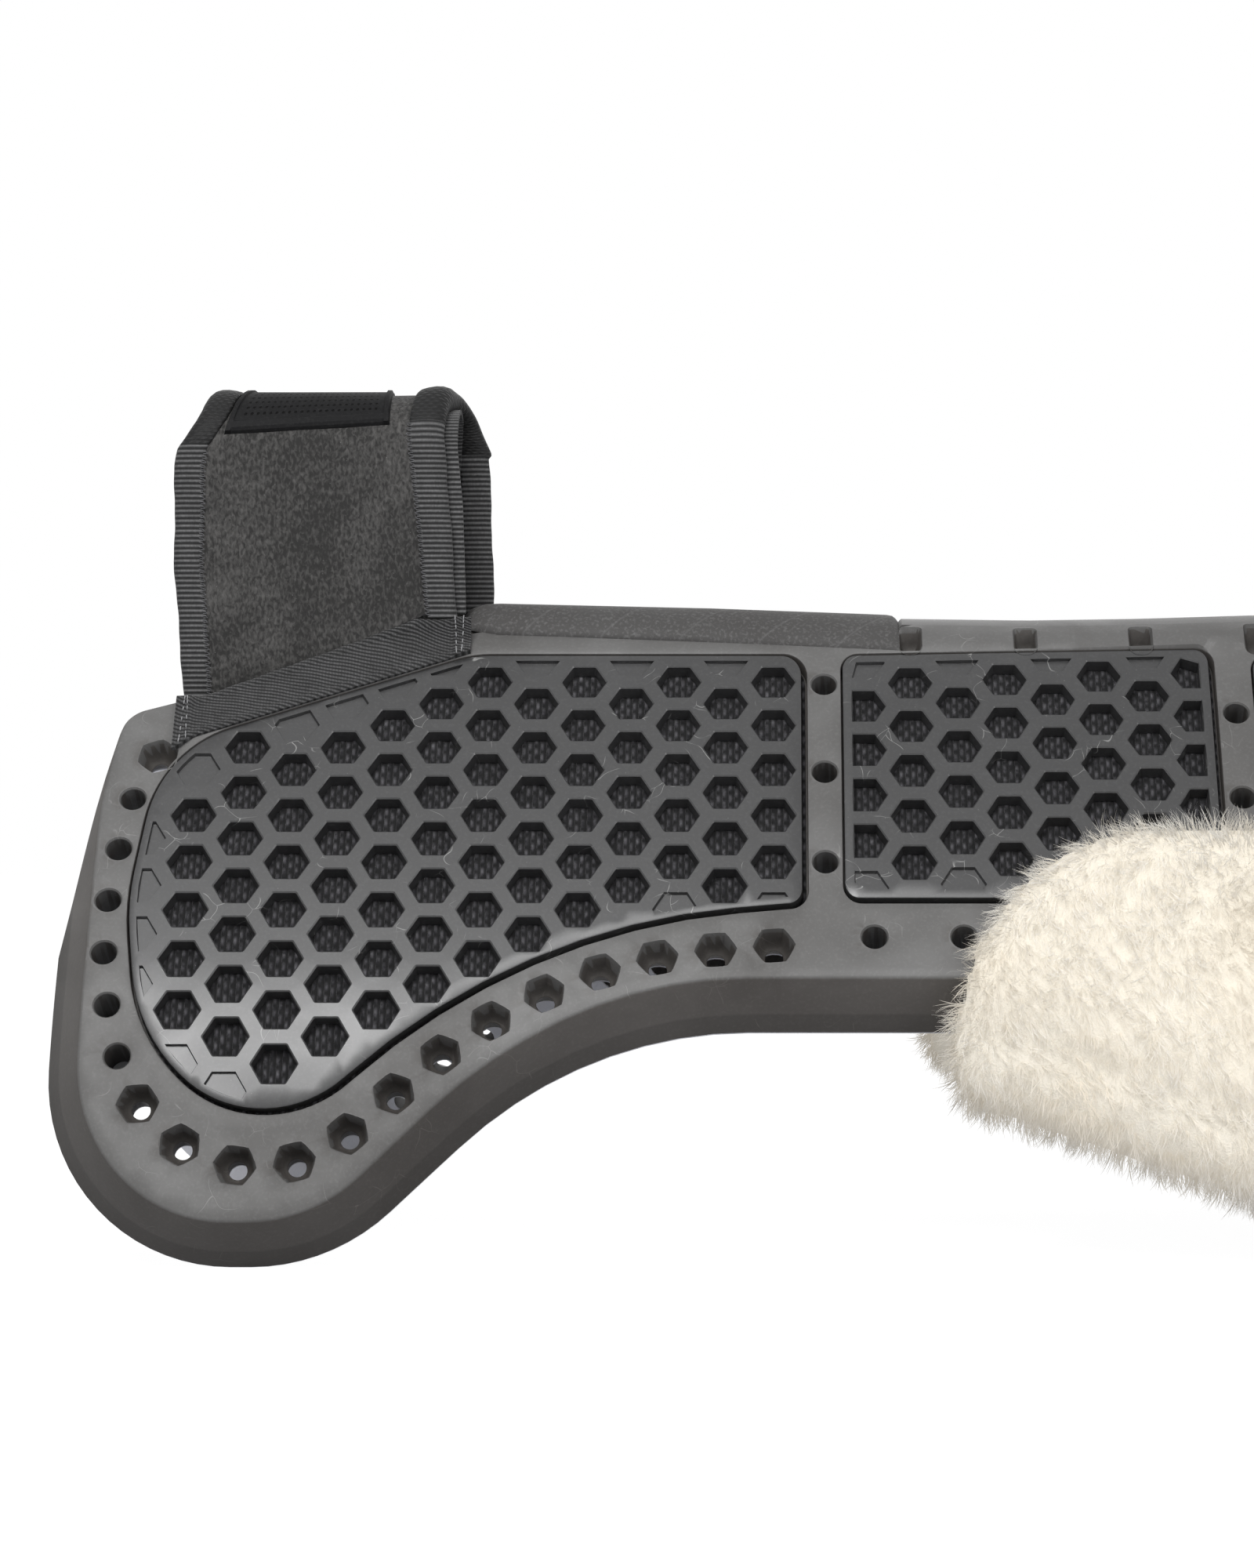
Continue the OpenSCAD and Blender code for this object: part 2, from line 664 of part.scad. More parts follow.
panel();  // near_panel
off() panel();  // off_panel
spine_strip();
under_lining();  // near_under_lining
off() under_lining();  // off_under_lining
wither_facing();  // near_wither_facing
off() wither_facing();  // off_wither_facing
front_shim();  // near_front_shim
middle_shim();  // near_middle_shim
rear_shim();  // near_rear_shim
off() front_shim();  // off_front_shim
off() middle_shim();  // off_middle_shim
off() rear_shim();  // off_rear_shim
lining(front_shim_corners);  // near_front_lining
lining(middle_shim_corners);  // near_middle_lining
lining(rear_shim_corners);  // near_rear_lining
off() lining(front_shim_corners);  // off_front_lining
off() lining(middle_shim_corners);  // off_middle_lining
off() lining(rear_shim_corners);  // off_rear_lining
tab_tape();  // near_tab_tape
off() tab_tape();  // off_tab_tape
leg();  // near_leg
leg_binding(strap_x);  // near_front_binding
leg_binding(strap_end_x - binding_w);  // near_rear_binding
loop_tape();  // near_loop_tape
off() leg();  // off_leg
off() leg_binding(strap_x);  // off_front_binding
off() leg_binding(strap_end_x - binding_w);  // off_rear_binding
strap_fold();
fold_binding(strap_x);  // fold_front_binding
fold_binding(strap_end_x - binding_w);  // fold_rear_binding
strap_badge();
hook_tail();
hook_tape();  // near_hook_tape
off() hook_tape();  // off_hook_tape
fleece_backing();  // near_fleece_backing
off() fleece_backing();  // off_fleece_backing
fleece_pile();  // near_fleece_pile
off() fleece_pile();  // off_fleece_pile
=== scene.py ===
"""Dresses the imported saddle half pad: moulded rubber panels, honeycomb shims, strap and fleece."""

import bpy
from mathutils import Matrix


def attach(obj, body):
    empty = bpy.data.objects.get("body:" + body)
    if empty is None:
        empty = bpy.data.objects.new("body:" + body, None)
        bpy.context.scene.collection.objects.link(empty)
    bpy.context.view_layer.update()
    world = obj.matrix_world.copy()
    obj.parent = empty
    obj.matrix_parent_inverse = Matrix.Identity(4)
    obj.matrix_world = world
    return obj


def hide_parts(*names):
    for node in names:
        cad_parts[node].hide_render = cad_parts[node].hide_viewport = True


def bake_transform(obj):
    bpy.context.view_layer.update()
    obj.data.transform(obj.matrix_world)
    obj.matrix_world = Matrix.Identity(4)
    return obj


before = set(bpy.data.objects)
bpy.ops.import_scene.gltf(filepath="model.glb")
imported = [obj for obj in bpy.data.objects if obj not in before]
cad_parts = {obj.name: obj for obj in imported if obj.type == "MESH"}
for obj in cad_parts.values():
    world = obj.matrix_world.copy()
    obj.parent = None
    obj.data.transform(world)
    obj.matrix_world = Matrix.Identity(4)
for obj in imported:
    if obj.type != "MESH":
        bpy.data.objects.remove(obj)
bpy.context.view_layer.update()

import logging
import math
from dataclasses import dataclass, field
from enum import Enum
from typing import Callable, Optional, Sequence

import bmesh
import bpy
import numpy as np
from mathutils import Matrix, Vector
from mathutils.geometry import delaunay_2d_cdt

log = logging.getLogger("half_pad")
MM = 0.001
Array = np.ndarray


class Side(Enum):
    """The two halves of the pad."""

    NEAR = -1
    OFF = 1

    @property
    def word(self) -> str:
        """Name that the side's nodes and bodies start with."""
        return self.name.lower()


# ---------------------------------------------------------------- flat outlines, in mm


def rounded(corners: Sequence[Sequence[float]], closed: bool = True, step: float = 5.0) -> Array:
    """Rounds each corner of a path with its own radius.

    Args:
        corners: Corners as (x, z, radius).
        closed: Whether the path closes on itself.
        step: Degrees that one side of an arc may turn.

    Returns:
        The path's points, one row each.
    """
    count = len(corners)
    path: list[Array] = []
    for i, corner in enumerate(corners):
        here, radius = np.array(corner[:2], float), corner[2]
        if radius <= 0 or (not closed and i in (0, count - 1)):
            path.append(here)
            continue
        back = np.array(corners[i - 1][:2], float) - here
        ahead = np.array(corners[(i + 1) % count][:2], float) - here
        back, ahead = back / np.linalg.norm(back), ahead / np.linalg.norm(ahead)
        half = math.acos(max(-1.0, min(1.0, float(back @ ahead)))) / 2
        bisector = (back + ahead) / np.linalg.norm(back + ahead)
        centre = here + bisector * radius / math.sin(half)
        first = here + back * radius / math.tan(half) - centre
        turn = -1.0 if back[0] * ahead[1] - back[1] * ahead[0] > 0 else 1.0
        sweep = math.pi - 2 * half
        sides = max(2, math.ceil(math.degrees(sweep) / step))
        for k in range(sides + 1):
            a = turn * sweep * k / sides
            spin = np.array([[math.cos(a), -math.sin(a)], [math.sin(a), math.cos(a)]])
            path.append(centre + spin @ first)
    return np.array(path)


def densify(path: Array, spacing: float, closed: bool = True) -> Array:
    """Adds points so that no side of a path is longer than spacing.

    Args:
        path: Points of the path, in order.
        spacing: Longest side, in millimetres.
        closed: Whether the path's end joins its start.

    Returns:
        The path with the added points.
    """
    ends = np.roll(path, -1, 0) if closed else path[1:]
    starts = path if closed else path[:-1]
    out = []
    for a, b in zip(starts, ends):
        pieces = max(1, math.ceil(np.linalg.norm(b - a) / spacing))
        out.extend(a + (b - a) * k / pieces for k in range(pieces))
    if not closed:
        out.append(path[-1])
    return np.array(out)


def inside(points: Array, loop: Array) -> Array:
    """Whether each point lies in a closed loop.

    Args:
        points: The points, one a row.
        loop: The closed loop's points.

    Returns:
        True for each point that is inside.
    """
    low, high = loop.min(0), loop.max(0)
    near = np.all((points >= low) & (points <= high), axis=1)
    result = np.zeros(len(points), bool)
    if not near.any():
        return result
    x, y = points[near, 0:1], points[near, 1:2]
    a, b = loop, np.roll(loop, -1, 0)
    spans = (a[:, 1] > y) != (b[:, 1] > y)
    rise = np.where(b[:, 1] == a[:, 1], 1e-12, b[:, 1] - a[:, 1])
    cross = (b[:, 0] - a[:, 0]) * (y - a[:, 1]) / rise + a[:, 0]
    result[near] = (spans & (x < cross)).sum(1) % 2 == 1
    return result


def distance(points: Array, path: Array, closed: bool = True) -> Array:
    """Distance from each point to a path.

    Args:
        points: The points, one a row.
        path: Points of the path, in order.
        closed: Whether the path's end joins its start.

    Returns:
        The distances.
    """
    a = path if closed else path[:-1]
    b = np.roll(path, -1, 0) if closed else path[1:]
    ab = b - a
    length = np.maximum((ab * ab).sum(1), 1e-12)
    best = np.full(len(points), 1e9)
    for start in range(0, len(points), 2000):
        p = points[start : start + 2000, None, :]
        t = np.clip(((p - a) * ab).sum(2) / length, 0, 1)
        gap = np.linalg.norm(p - a - ab * t[..., None], axis=2)
        best[start : start + 2000] = gap.min(1)
    return best


def area_of(loop: Array) -> float:
    """Signed area of a closed loop."""
    nxt = np.roll(loop, -1, 0)
    return float((loop[:, 0] * nxt[:, 1] - loop[:, 1] * nxt[:, 0]).sum() / 2)


def moved_in(loop: Array, amount: float) -> Array:
    """Moves a closed loop inwards along its own normals.

    Args:
        loop: The closed loop's points.
        amount: Distance to move, in millimetres.

    Returns:
        The moved loop.
    """
    turn = 1.0 if area_of(loop) > 0 else -1.0
    tangent = np.roll(loop, -1, 0) - np.roll(loop, 1, 0)
    tangent /= np.maximum(np.linalg.norm(tangent, axis=1), 1e-9)[:, None]
    return loop + turn * amount * np.stack([-tangent[:, 1], tangent[:, 0]], 1)


def clipped(subject: Array, convex: Array) -> Array:
    """The part of a loop that lies in a convex loop.

    Args:
        subject: The loop to cut.
        convex: The loop to cut it to.

    Returns:
        The part inside, which can be empty.
    """
    if area_of(convex) < 0:
        convex = convex[::-1]
    out = [p for p in subject]
    for a, b in zip(convex, np.roll(convex, -1, 0)):
        source, out = out, []
        normal = np.array([-(b - a)[1], (b - a)[0]])
        for p, q in zip(source, source[1:] + source[:1]):
            dp, dq = float((p - a) @ normal), float((q - a) @ normal)
            if dp >= 0:
                out.append(p)
            if (dp >= 0) != (dq >= 0):
                out.append(p + (q - p) * dp / (dp - dq))
        if not out:
            return np.zeros((0, 2))
    return np.array(out)


def regular(centre: Array, radius: float, sides: int, turn: float = 0.0) -> Array:
    """A regular polygon round a centre, its first corner turned by turn radians."""
    a = turn + np.arange(sides) * 2 * math.pi / sides
    return np.asarray(centre) + radius * np.stack([np.cos(a), np.sin(a)], 1)


def soft_step(low: float, high: float, value: Array) -> Array:
    """Smooth rise from 0 at low to 1 at high."""
    t = np.clip((value - low) / (high - low), 0, 1)
    return t * t * (3 - 2 * t)


def fill(
    loops: Sequence[Array], keep: Callable[[Array], Array], spacing: float, low: Array, high: Array
) -> tuple[Array, Array]:
    """Fills a flat region with even triangles.

    Args:
        loops: Closed loops whose sides the triangles follow.
        keep: Says which points lie in the region.
        spacing: Distance between the points added inside the region.
        low: Lowest corner of the region.
        high: Highest corner of the region.

    Returns:
        The points, and three point numbers for each triangle.
    """
    xs = np.arange(low[0] + spacing / 2, high[0], spacing)
    ys = np.arange(low[1] + spacing / 2, high[1], spacing * 0.87)
    gx, gy = np.meshgrid(xs, ys)
    gx[1::2] += spacing / 2
    grid = np.stack([gx.ravel(), gy.ravel()], 1)
    grid = grid[keep(grid)]
    clear = np.ones(len(grid), bool)
    for loop in loops:
        near = np.all((grid > loop.min(0) - spacing) & (grid < loop.max(0) + spacing), axis=1) & clear
        if near.any():
            index = np.flatnonzero(near)
            clear[index[distance(grid[index], loop) < spacing * 0.45]] = False
    grid = grid[clear]
    points: list[Array] = []
    edges: list[tuple[int, int]] = []
    for loop in loops:
        start = sum(len(p) for p in points)
        points.append(loop)
        edges += [(start + k, start + (k + 1) % len(loop)) for k in range(len(loop))]
    points.append(grid)
    flat = np.concatenate(points)
    made = delaunay_2d_cdt([Vector(p) for p in flat.tolist()], edges, [], 0, 1e-4)
    verts = np.array([v[:] for v in made[0]])
    tris = np.array(made[2], int)
    corners = verts[tris]
    tris = tris[keep(corners.mean(1))]
    corners = verts[tris]
    e1, e2 = corners[:, 1] - corners[:, 0], corners[:, 2] - corners[:, 0]
    size = e1[:, 0] * e2[:, 1] - e1[:, 1] * e2[:, 0]
    tris[size < 0] = tris[size < 0][:, ::-1]
    used, back = np.unique(tris[np.abs(size) > 1e-7], return_inverse=True)
    return verts[used], back.reshape(-1, 3)


# ---------------------------------------------------------------- the draped face


@dataclass(frozen=True)
class Drape:
    """The pad's cross-section: arcs from the crown down, in mm and degrees."""

    crown_z: float = 216.0
    radii: tuple[float, ...] = (30.0, 1200.0, 200.0, 600.0)
    tilts: tuple[float, ...] = (90.0, 38.0, 32.0, 20.0, 14.0)
    strip_s: float = 30.0 * math.radians(23.0)

    def _starts(self) -> tuple[Array, Array, Array]:
        """Run, reach and height where each arc starts.

        Returns:
            Three arrays, one value an arc.
        """
        s, y, z = [0.0], [0.0], [self.crown_z]
        for radius, a, b in zip(self.radii, self.tilts, self.tilts[1:]):
            a, b = math.radians(a), math.radians(b)
            s.append(s[-1] + radius * (a - b))
            y.append(y[-1] + radius * (math.cos(b) - math.cos(a)))
            z.append(z[-1] - radius * (math.sin(a) - math.sin(b)))
        return np.array(s), np.array(y), np.array(z)

    def face(self, s: Array) -> tuple[Array, Array, Array]:
        """Reach from the middle, height and tilt in radians, a run s down from the crown.

        Args:
            s: Runs down from the crown.

        Returns:
            Three arrays, one value a run.
        """
        s = np.asarray(s, float)
        ss, ys, zs = self._starts()
        arc = np.clip(np.searchsorted(ss, s, side="right") - 1, 0, len(self.radii) - 1)
        radius = np.array(self.radii)[arc]
        first = np.radians(np.array(self.tilts)[arc])
        inner = np.minimum(s, ss[-1])
        tilt = first - (inner - ss[arc]) / radius
        y = ys[arc] + radius * (np.cos(tilt) - np.cos(first))
        z = zs[arc] - radius * (np.sin(first) - np.sin(tilt))
        extra = np.maximum(s - ss[-1], 0)
        return y + extra * np.sin(tilt), z - extra * np.cos(tilt), tilt

    def run_at(self, z: Array, depth: float = 0.0) -> Array:
        """Run down from the crown at which a layer has height z.

        Args:
            z: Heights, in millimetres.
            depth: Depth of the layer under the face.

        Returns:
            The runs.
        """
        s = np.linspace(0, 330, 3301)
        _, height, tilt = self.face(s)
        height = height + depth * np.sin(tilt)
        z = np.asarray(z, float)
        run = np.interp(-z, -height, s)
        top = height[0]
        return np.where(z > top, -(z - top), run)

    def flat(self, path: Array, depth: float = 0.0) -> Array:
        """An (x, z) path as an (x, s) path."""
        return np.stack([path[:, 0], self.run_at(path[:, 1], depth)], 1)

    def place(self, points: Array, side: Side) -> Array:
        """Points (x, s, d) as metres. A negative s lies over the crown on the other side.

        Args:
            points: The points, one a row.
            side: The side of the pad.

        Returns:
            The points in metres.
        """
        points = np.asarray(points, float).reshape(-1, 3)
        y, z, tilt = self.face(np.abs(points[:, 1]))
        across = np.where(points[:, 1] < 0, -1.0, 1.0) * side.value
        d = points[:, 2]
        return MM * np.stack(
            [points[:, 0], across * (y + d * np.cos(tilt)), z + d * np.sin(tilt)], 1
        )


DRAPE = Drape()


@dataclass(frozen=True)
class Sizes:
    """The pad's own sizes, in mm; cups and bores are a little wider than in its solids."""

    front_x: float = -283.0
    rear_x: float = 281.0
    panel_t: float = 19.0
    knit_t: float = 0.8
    toe_r: float = 63.0
    heel_r: float = 67.0
    waist_z: float = 75.5
    waist_fillet: float = 142.0
    rear_toe_r: float = 60.0
    wither_z: float = 213.0
    wither_slope: float = 13.5
    strap_w: float = 100.0
    shim_t: float = 5.0
    pocket_gap: float = 1.2
    comb_pitch: float = 19.0
    cell_w: float = 15.4
    vent_d: float = 8.7
    cup_w: float = 14.6
    bore_d: float = 6.2
    cup_pitch: float = 19.6
    vent_pitch: float = 17.2
    facing_end_x: float = 5.0
    notch_pitch: float = 40.5

    @property
    def panel_rear_x(self) -> float:
        """Rear end of the rubber."""
        return self.rear_x - 9.0

    @property
    def strap_x(self) -> float:
        """Front edge of the strap."""
        return self.front_x + 35.0

    @property
    def strap_end_x(self) -> float:
        """Rear edge of the strap."""
        return self.strap_x + self.strap_w

    @property
    def wither_x(self) -> float:
        """Front end of the spine."""
        return self.strap_end_x + 10.0

    def wither_edge(self, x: float) -> float:
        """Height of the panel's sloping top edge at x."""
        return self.wither_z + (x - self.wither_x) * math.tan(math.radians(self.wither_slope))

    def rim(self) -> Array:
        """Outline of a panel, as (x, z).

        Returns:
            The outline, as a closed loop.
        """
        f, heel = self.front_x + 2.0, self.heel_r
        lean = math.tan(math.radians(self.wither_slope))
        corners = [
            (f, 0, self.toe_r), (f + 96, 0, heel), (f + 178, self.waist_z, self.waist_fillet),
            (self.rear_x - 246, self.waist_z, 60), (self.rear_x - 91, 12, heel),
            (self.panel_rear_x, 12, self.rear_toe_r), (self.panel_rear_x, 260, 0),
            (f + 112.5 * lean, 260, 0), (f, 147.5, 134),
        ]
        return rounded(corners)

    def top_limit(self) -> Array:
        """Outline that trims the panels along the withers and at the rear, as (x, z).

        Returns:
            The outline, as a closed loop.
        """
        f, corner = self.front_x, self.front_x + 19.5
        return rounded([
            (f - 8, -60, 0), (400, -60, 0), (400, 40, 0), (self.panel_rear_x - 8, 224, 46),
            (self.wither_x, 224, 0), (self.wither_x, self.wither_z, 0),
            (corner, self.wither_edge(corner), 12), (f - 1, 97, 0),
        ])

    def shim_outlines(self) -> dict[str, Array]:
        """Outlines of the three shims, as (x, z).

        Returns:
            The outlines by name, as closed loops.
        """
        f, heel, toe, top, low = self.front_x, self.heel_r, self.toe_r, 203.6, 118.8
        edge = self.wither_edge(f + 34) - 15.7
        front = [
            (-28.8, low, 5), (-28.8, top, 7), (self.wither_x - 6, top, heel * 0.6),
            (f + 34, edge, toe * 0.6), (f + 27.2, 119.1, heel * 1.08), (f + 34, 76.6, toe * 0.91),
            (f + 76, 38, heel * 0.6), (f + 159, self.waist_z + 35.4, self.waist_fillet * 1.56),
        ]
        middle = [(-14.5, 120.2, 5), (113.5, 120.2, 5), (113.5, 206, 5), (-14.5, top, 5)]
        end = self.panel_rear_x - 22
        rear = [
            (128.8, 104, 5), (self.rear_x - 81, 50, heel * 0.4), (end, 50, self.rear_toe_r * 0.6),
            (end, top, 40), (128.8, top, 5),
        ]
        return {"front": rounded(front), "middle": rounded(middle), "rear": rounded(rear)}

    def front_ring(self) -> Array:
        """Line of the cups and vents round the front lobe, as (x, z).

        Returns:
            The line, from above the waist down round the lobe and up the front edge.
        """
        f = self.front_x
        return rounded([
            (-25.1, 106.3, 0), (f + 167.4, 99.8, self.waist_fillet * 1.18),
            (f + 96.5, 37.9, self.heel_r * 0.46), (f + 41.4, 24.2, self.toe_r * 0.785),
            (f + 16, 105.5, self.heel_r * 1.96), (f + 28, 170.2, 0),
        ], closed=False)

    def rear_ring(self) -> Array:
        """Line of the cups round the rear lobe, as (x, z).

        Returns:
            The line, from above the waist down round the lobe and up the rear edge.
        """
        end, heel = self.panel_rear_x - 11, self.heel_r * 0.6
        return rounded([
            (45, 106, 0), (98.5, 86, heel), (192, 34, heel), (end, 34, 38), (end, 176, 0),
        ], closed=False)


SIZES = Sizes()


def spaced(path: Array, start: float, pitch: float, count: int) -> list[tuple[Array, float]]:
    """Points spaced along an open path, each with the path's direction there in radians.

    Args:
        path: Points of the path, in order.
        start: Run at which the first one lies.
        pitch: Step between two of them.
        count: How many there are.

    Returns:
        Each point and its direction.
    """
    steps = np.linalg.norm(np.diff(path, axis=0), axis=1)
    runs = np.concatenate([[0], np.cumsum(steps)])
    found = []
    for k in range(count):
        s = start + k * pitch
        if s > runs[-1] + 1e-6:
            break
        i = min(int(np.searchsorted(runs, s, side="right")) - 1, len(steps) - 1)
        step = path[i + 1] - path[i]
        found.append((path[i] + step * (s - runs[i]) / steps[i], math.atan2(step[1], step[0])))
    return found


# ---------------------------------------------------------------- meshes


class Shell:
    """Gathers faces in (x, s, d) and drapes them as one object."""

    def __init__(self) -> None:
        """Starts with no faces."""
        self.points: list[Array] = []
        self.faces: list[list[int]] = []
        self.slots: list[int] = []
        # Depths that the painted shade is read from, one for each point.
        self.tones: list[Array] = []
        self.count = 0

    def add(
        self, points: Array, faces: Sequence[Sequence[int]], slot: int = 0, tone: Optional[float] = None
    ) -> None:
        """Adds points and the faces between them.

        Args:
            points: Points as (x, s, d).
            faces: Point numbers of each face.
            slot: Material slot of the faces.
            tone: Depth that the material's painted shade is read from for these points, in place of their
                own.
        """
        self.points.append(np.asarray(points, float).reshape(-1, 3))
        depth = self.points[-1][:, 2]
        self.tones.append(depth if tone is None else np.full(len(depth), tone))
        self.faces += [[self.count + int(i) for i in face] for face in faces]
        self.slots += [slot] * len(faces)
        self.count += len(self.points[-1])

    def sheet(
        self, flat: tuple[Array, Array], depth: float | Array, flip: bool = False, slot: int = 0
    ) -> None:
        """Adds a filled flat region at a depth.

        Args:
            flat: The region's points and triangles.
            depth: Depth of its points.
            flip: Whether the faces look down.
            slot: Material slot.
        """
        points, tris = flat
        depth = np.broadcast_to(np.asarray(depth, float), (len(points),))
        self.add(np.column_stack([points, depth]), tris[:, ::-1] if flip else tris, slot)

    def first_sheet(self) -> list[list[int]]:
        """Faces of the first region that was added."""
        return [face for face in self.faces if max(face) < len(self.points[0])]

    def ladder(
        self, rings: Sequence[tuple[Array, float | Array]], slot: int = 0, tone: Optional[float] = None
    ) -> None:
        """Joins closed rings of the same length, each a loop and its depth.

        Args:
            rings: Loops and their depths, from the first to the last.
            slot: Material slot.
            tone: Depth that the material's painted shade is read from, in place of the real one.
        """
        size = len(rings[0][0])
        points = [
            np.column_stack([loop, np.broadcast_to(np.asarray(d, float), (size,))]) for loop, d in rings
        ]
        faces = []
        for r in range(len(rings) - 1):
            for k in range(size):
                n = (k + 1) % size
                faces.append([r * size + k, r * size + n, (r + 1) * size + n, (r + 1) * size + k])
        self.add(np.concatenate(points), faces, slot, tone)

    def plate(self, flat: tuple[Array, Array], top: float | Array, low: float) -> None:
        """Adds both faces of a filled region and the walls between them.

        Args:
            flat: The region's points and triangles.
            top: Depth of the upper face, one for all its points or one for each.
            low: Depth of the lower face.
        """
        top = np.broadcast_to(np.asarray(top, float), (len(flat[0]),))
        self.sheet(flat, top)
        self.sheet(flat, low, flip=True)
        self.walls(flat, top, low)

    def walls(
        self, flat: tuple[Array, Array], top: Array, bottom: float | Array,
        skip: Optional[Callable[[Array], Array]] = None, slot: int = 0,
    ) -> None:
        """Closes the open edges of a filled region down to another depth.

        Args:
            flat: The region's points and triangles.
            top: Depth of each of its points.
            bottom: Depth that the walls reach.
            skip: Says which edge middles get no wall.
            slot: Material slot of the walls.
        """
        points, tris = flat
        edges = np.concatenate([tris[:, [0, 1]], tris[:, [1, 2]], tris[:, [2, 0]]])
        key = np.sort(edges, 1)
        _, first, count = np.unique(key, axis=0, return_index=True, return_counts=True)
        rim = edges[first[count == 1]]
        if skip is not None:
            rim = rim[~skip((points[rim[:, 0]] + points[rim[:, 1]]) / 2)]
        low = np.broadcast_to(np.asarray(bottom, float), (len(points),))
        corners = np.stack([
            np.column_stack([points[rim[:, 1]], top[rim[:, 1]]]),
            np.column_stack([points[rim[:, 0]], top[rim[:, 0]]]),
            np.column_stack([points[rim[:, 0]], low[rim[:, 0]]]),
            np.column_stack([points[rim[:, 1]], low[rim[:, 1]]]),
        ], 1)
        self.add(corners.reshape(-1, 3), np.arange(len(rim) * 4).reshape(-1, 4), slot)

    def build(
        self, name: str, side: Side, sharp: float = 32.0, uv_scale: float = 1.0,
        recalc: bool = True,
    ) -> bpy.types.Object:
        """Drapes the faces and makes them an object.

        Args:
            name: Name of the object.
            side: Side of the pad that positive s lies on.
            sharp: Angle in degrees past which an edge stays sharp.
            uv_scale: Turns millimetres of (x, s) into the UV map's units.
            recalc: Whether the shell is closed and gets its normals recalculated.

        Returns:
            The object, at the origin.
        """
        points = np.concatenate(self.points)
        mesh = bpy.data.meshes.new(name)
        mesh.from_pydata(DRAPE.place(points, side).tolist(), [], self.faces)
        if side is Side.OFF and not recalc:
            mesh.flip_normals()
        mesh.polygons.foreach_set("material_index", self.slots)
        uv = mesh.uv_layers.new(name="flat")
        index = np.zeros(len(mesh.loops), int)
        mesh.loops.foreach_get("vertex_index", index)
        uv.data.foreach_set("uv", (points[index][:, :2] * uv_scale).ravel())
        # The depth attribute, or the tone given in its place, sets the painted shade of pad_rubber's bevel,
        # walls and cups.
        mesh.attributes.new("depth", "FLOAT", "POINT").data.foreach_set(
            "value", np.concatenate(self.tones))
        return finish_mesh(mesh, name, sharp, recalc)


def finish_mesh(
    mesh: bpy.types.Mesh, name: str, sharp: float = 32.0, recalc: bool = True
) -> bpy.types.Object:
    """Merges a mesh's doubles, sets which edges are sharp and makes an object of it.

    Args:
        mesh: The mesh, changed in place.
        name: Name of the piece.
        sharp: Edges that turn by more degrees than this stay sharp.
        recalc: Whether the faces are turned outwards again.

    Returns:
        The object.
    """
    bm = bmesh.new()
    bm.from_mesh(mesh)
    bmesh.ops.remove_doubles(bm, verts=bm.verts, dist=2e-6)
    bmesh.ops.dissolve_degenerate(bm, edges=bm.edges, dist=1e-7)
    if recalc:
        bmesh.ops.recalc_face_normals(bm, faces=bm.faces)
    limit = math.radians(sharp)
    for face in bm.faces:
        face.smooth = True
    for edge in bm.edges:
        edge.smooth = len(edge.link_faces) == 2 and edge.calc_face_angle(0.0) < limit
    bm.to_mesh(mesh)
    bm.free()
    piece = bpy.data.objects.new(name, mesh)
    bpy.context.scene.collection.objects.link(piece)
    return piece


def tube_mesh(
    rows: Array, uvs: Array, caps: bool = True
) -> tuple[list[list[float]], list[list[int]], list[list[tuple[float, float]]]]:
    """Faces over rows of closed rings.

    Args:
        rows: Points in metres, shaped (rows, ring, 3).
        uvs: UV of each point, shaped (rows, ring + 1, 2).
        caps: Whether the two end rings are closed.

    Returns:
        Points, faces and the UV of each face corner.
    """
    count, size = rows.shape[:2]
    faces, corner_uv = [], []
    for r in range(count - 1):
        for k in range(size):
            n = (k + 1) % size
            faces.append([r * size + k, r * size + n, (r + 1) * size + n, (r + 1) * size + k])
            corner_uv.append([uvs[r, k], uvs[r, k + 1], uvs[r + 1, k + 1], uvs[r + 1, k]])
    if caps:
        for r in (0, count - 1):
            faces.append([r * size + k for k in range(size)])
            corner_uv.append([uvs[r, k] for k in range(size)])
    return rows.reshape(-1, 3).tolist(), faces, corner_uv


def tube(name: str, rows: Array, uvs: Array, sharp: float = 60.0) -> bpy.types.Object:
    """An object over rows of closed rings, with a UV map.

    Args:
        name: Name of the piece.
        rows: Closed rings, one a row.
        uvs: Places on the map, laid out like the rows.
        sharp: Edges that turn by more degrees than this stay sharp.

    Returns:
        The object.
    """
    points, faces, corner_uv = tube_mesh(rows, uvs)
    mesh = bpy.data.meshes.new(name)
    mesh.from_pydata(points, [], faces)
    layer = mesh.uv_layers.new(name="flat")
    layer.data.foreach_set("uv", np.array([uv for face in corner_uv for uv in face], float).ravel())
    return finish_mesh(mesh, name, sharp)


# ---------------------------------------------------------------- node trees


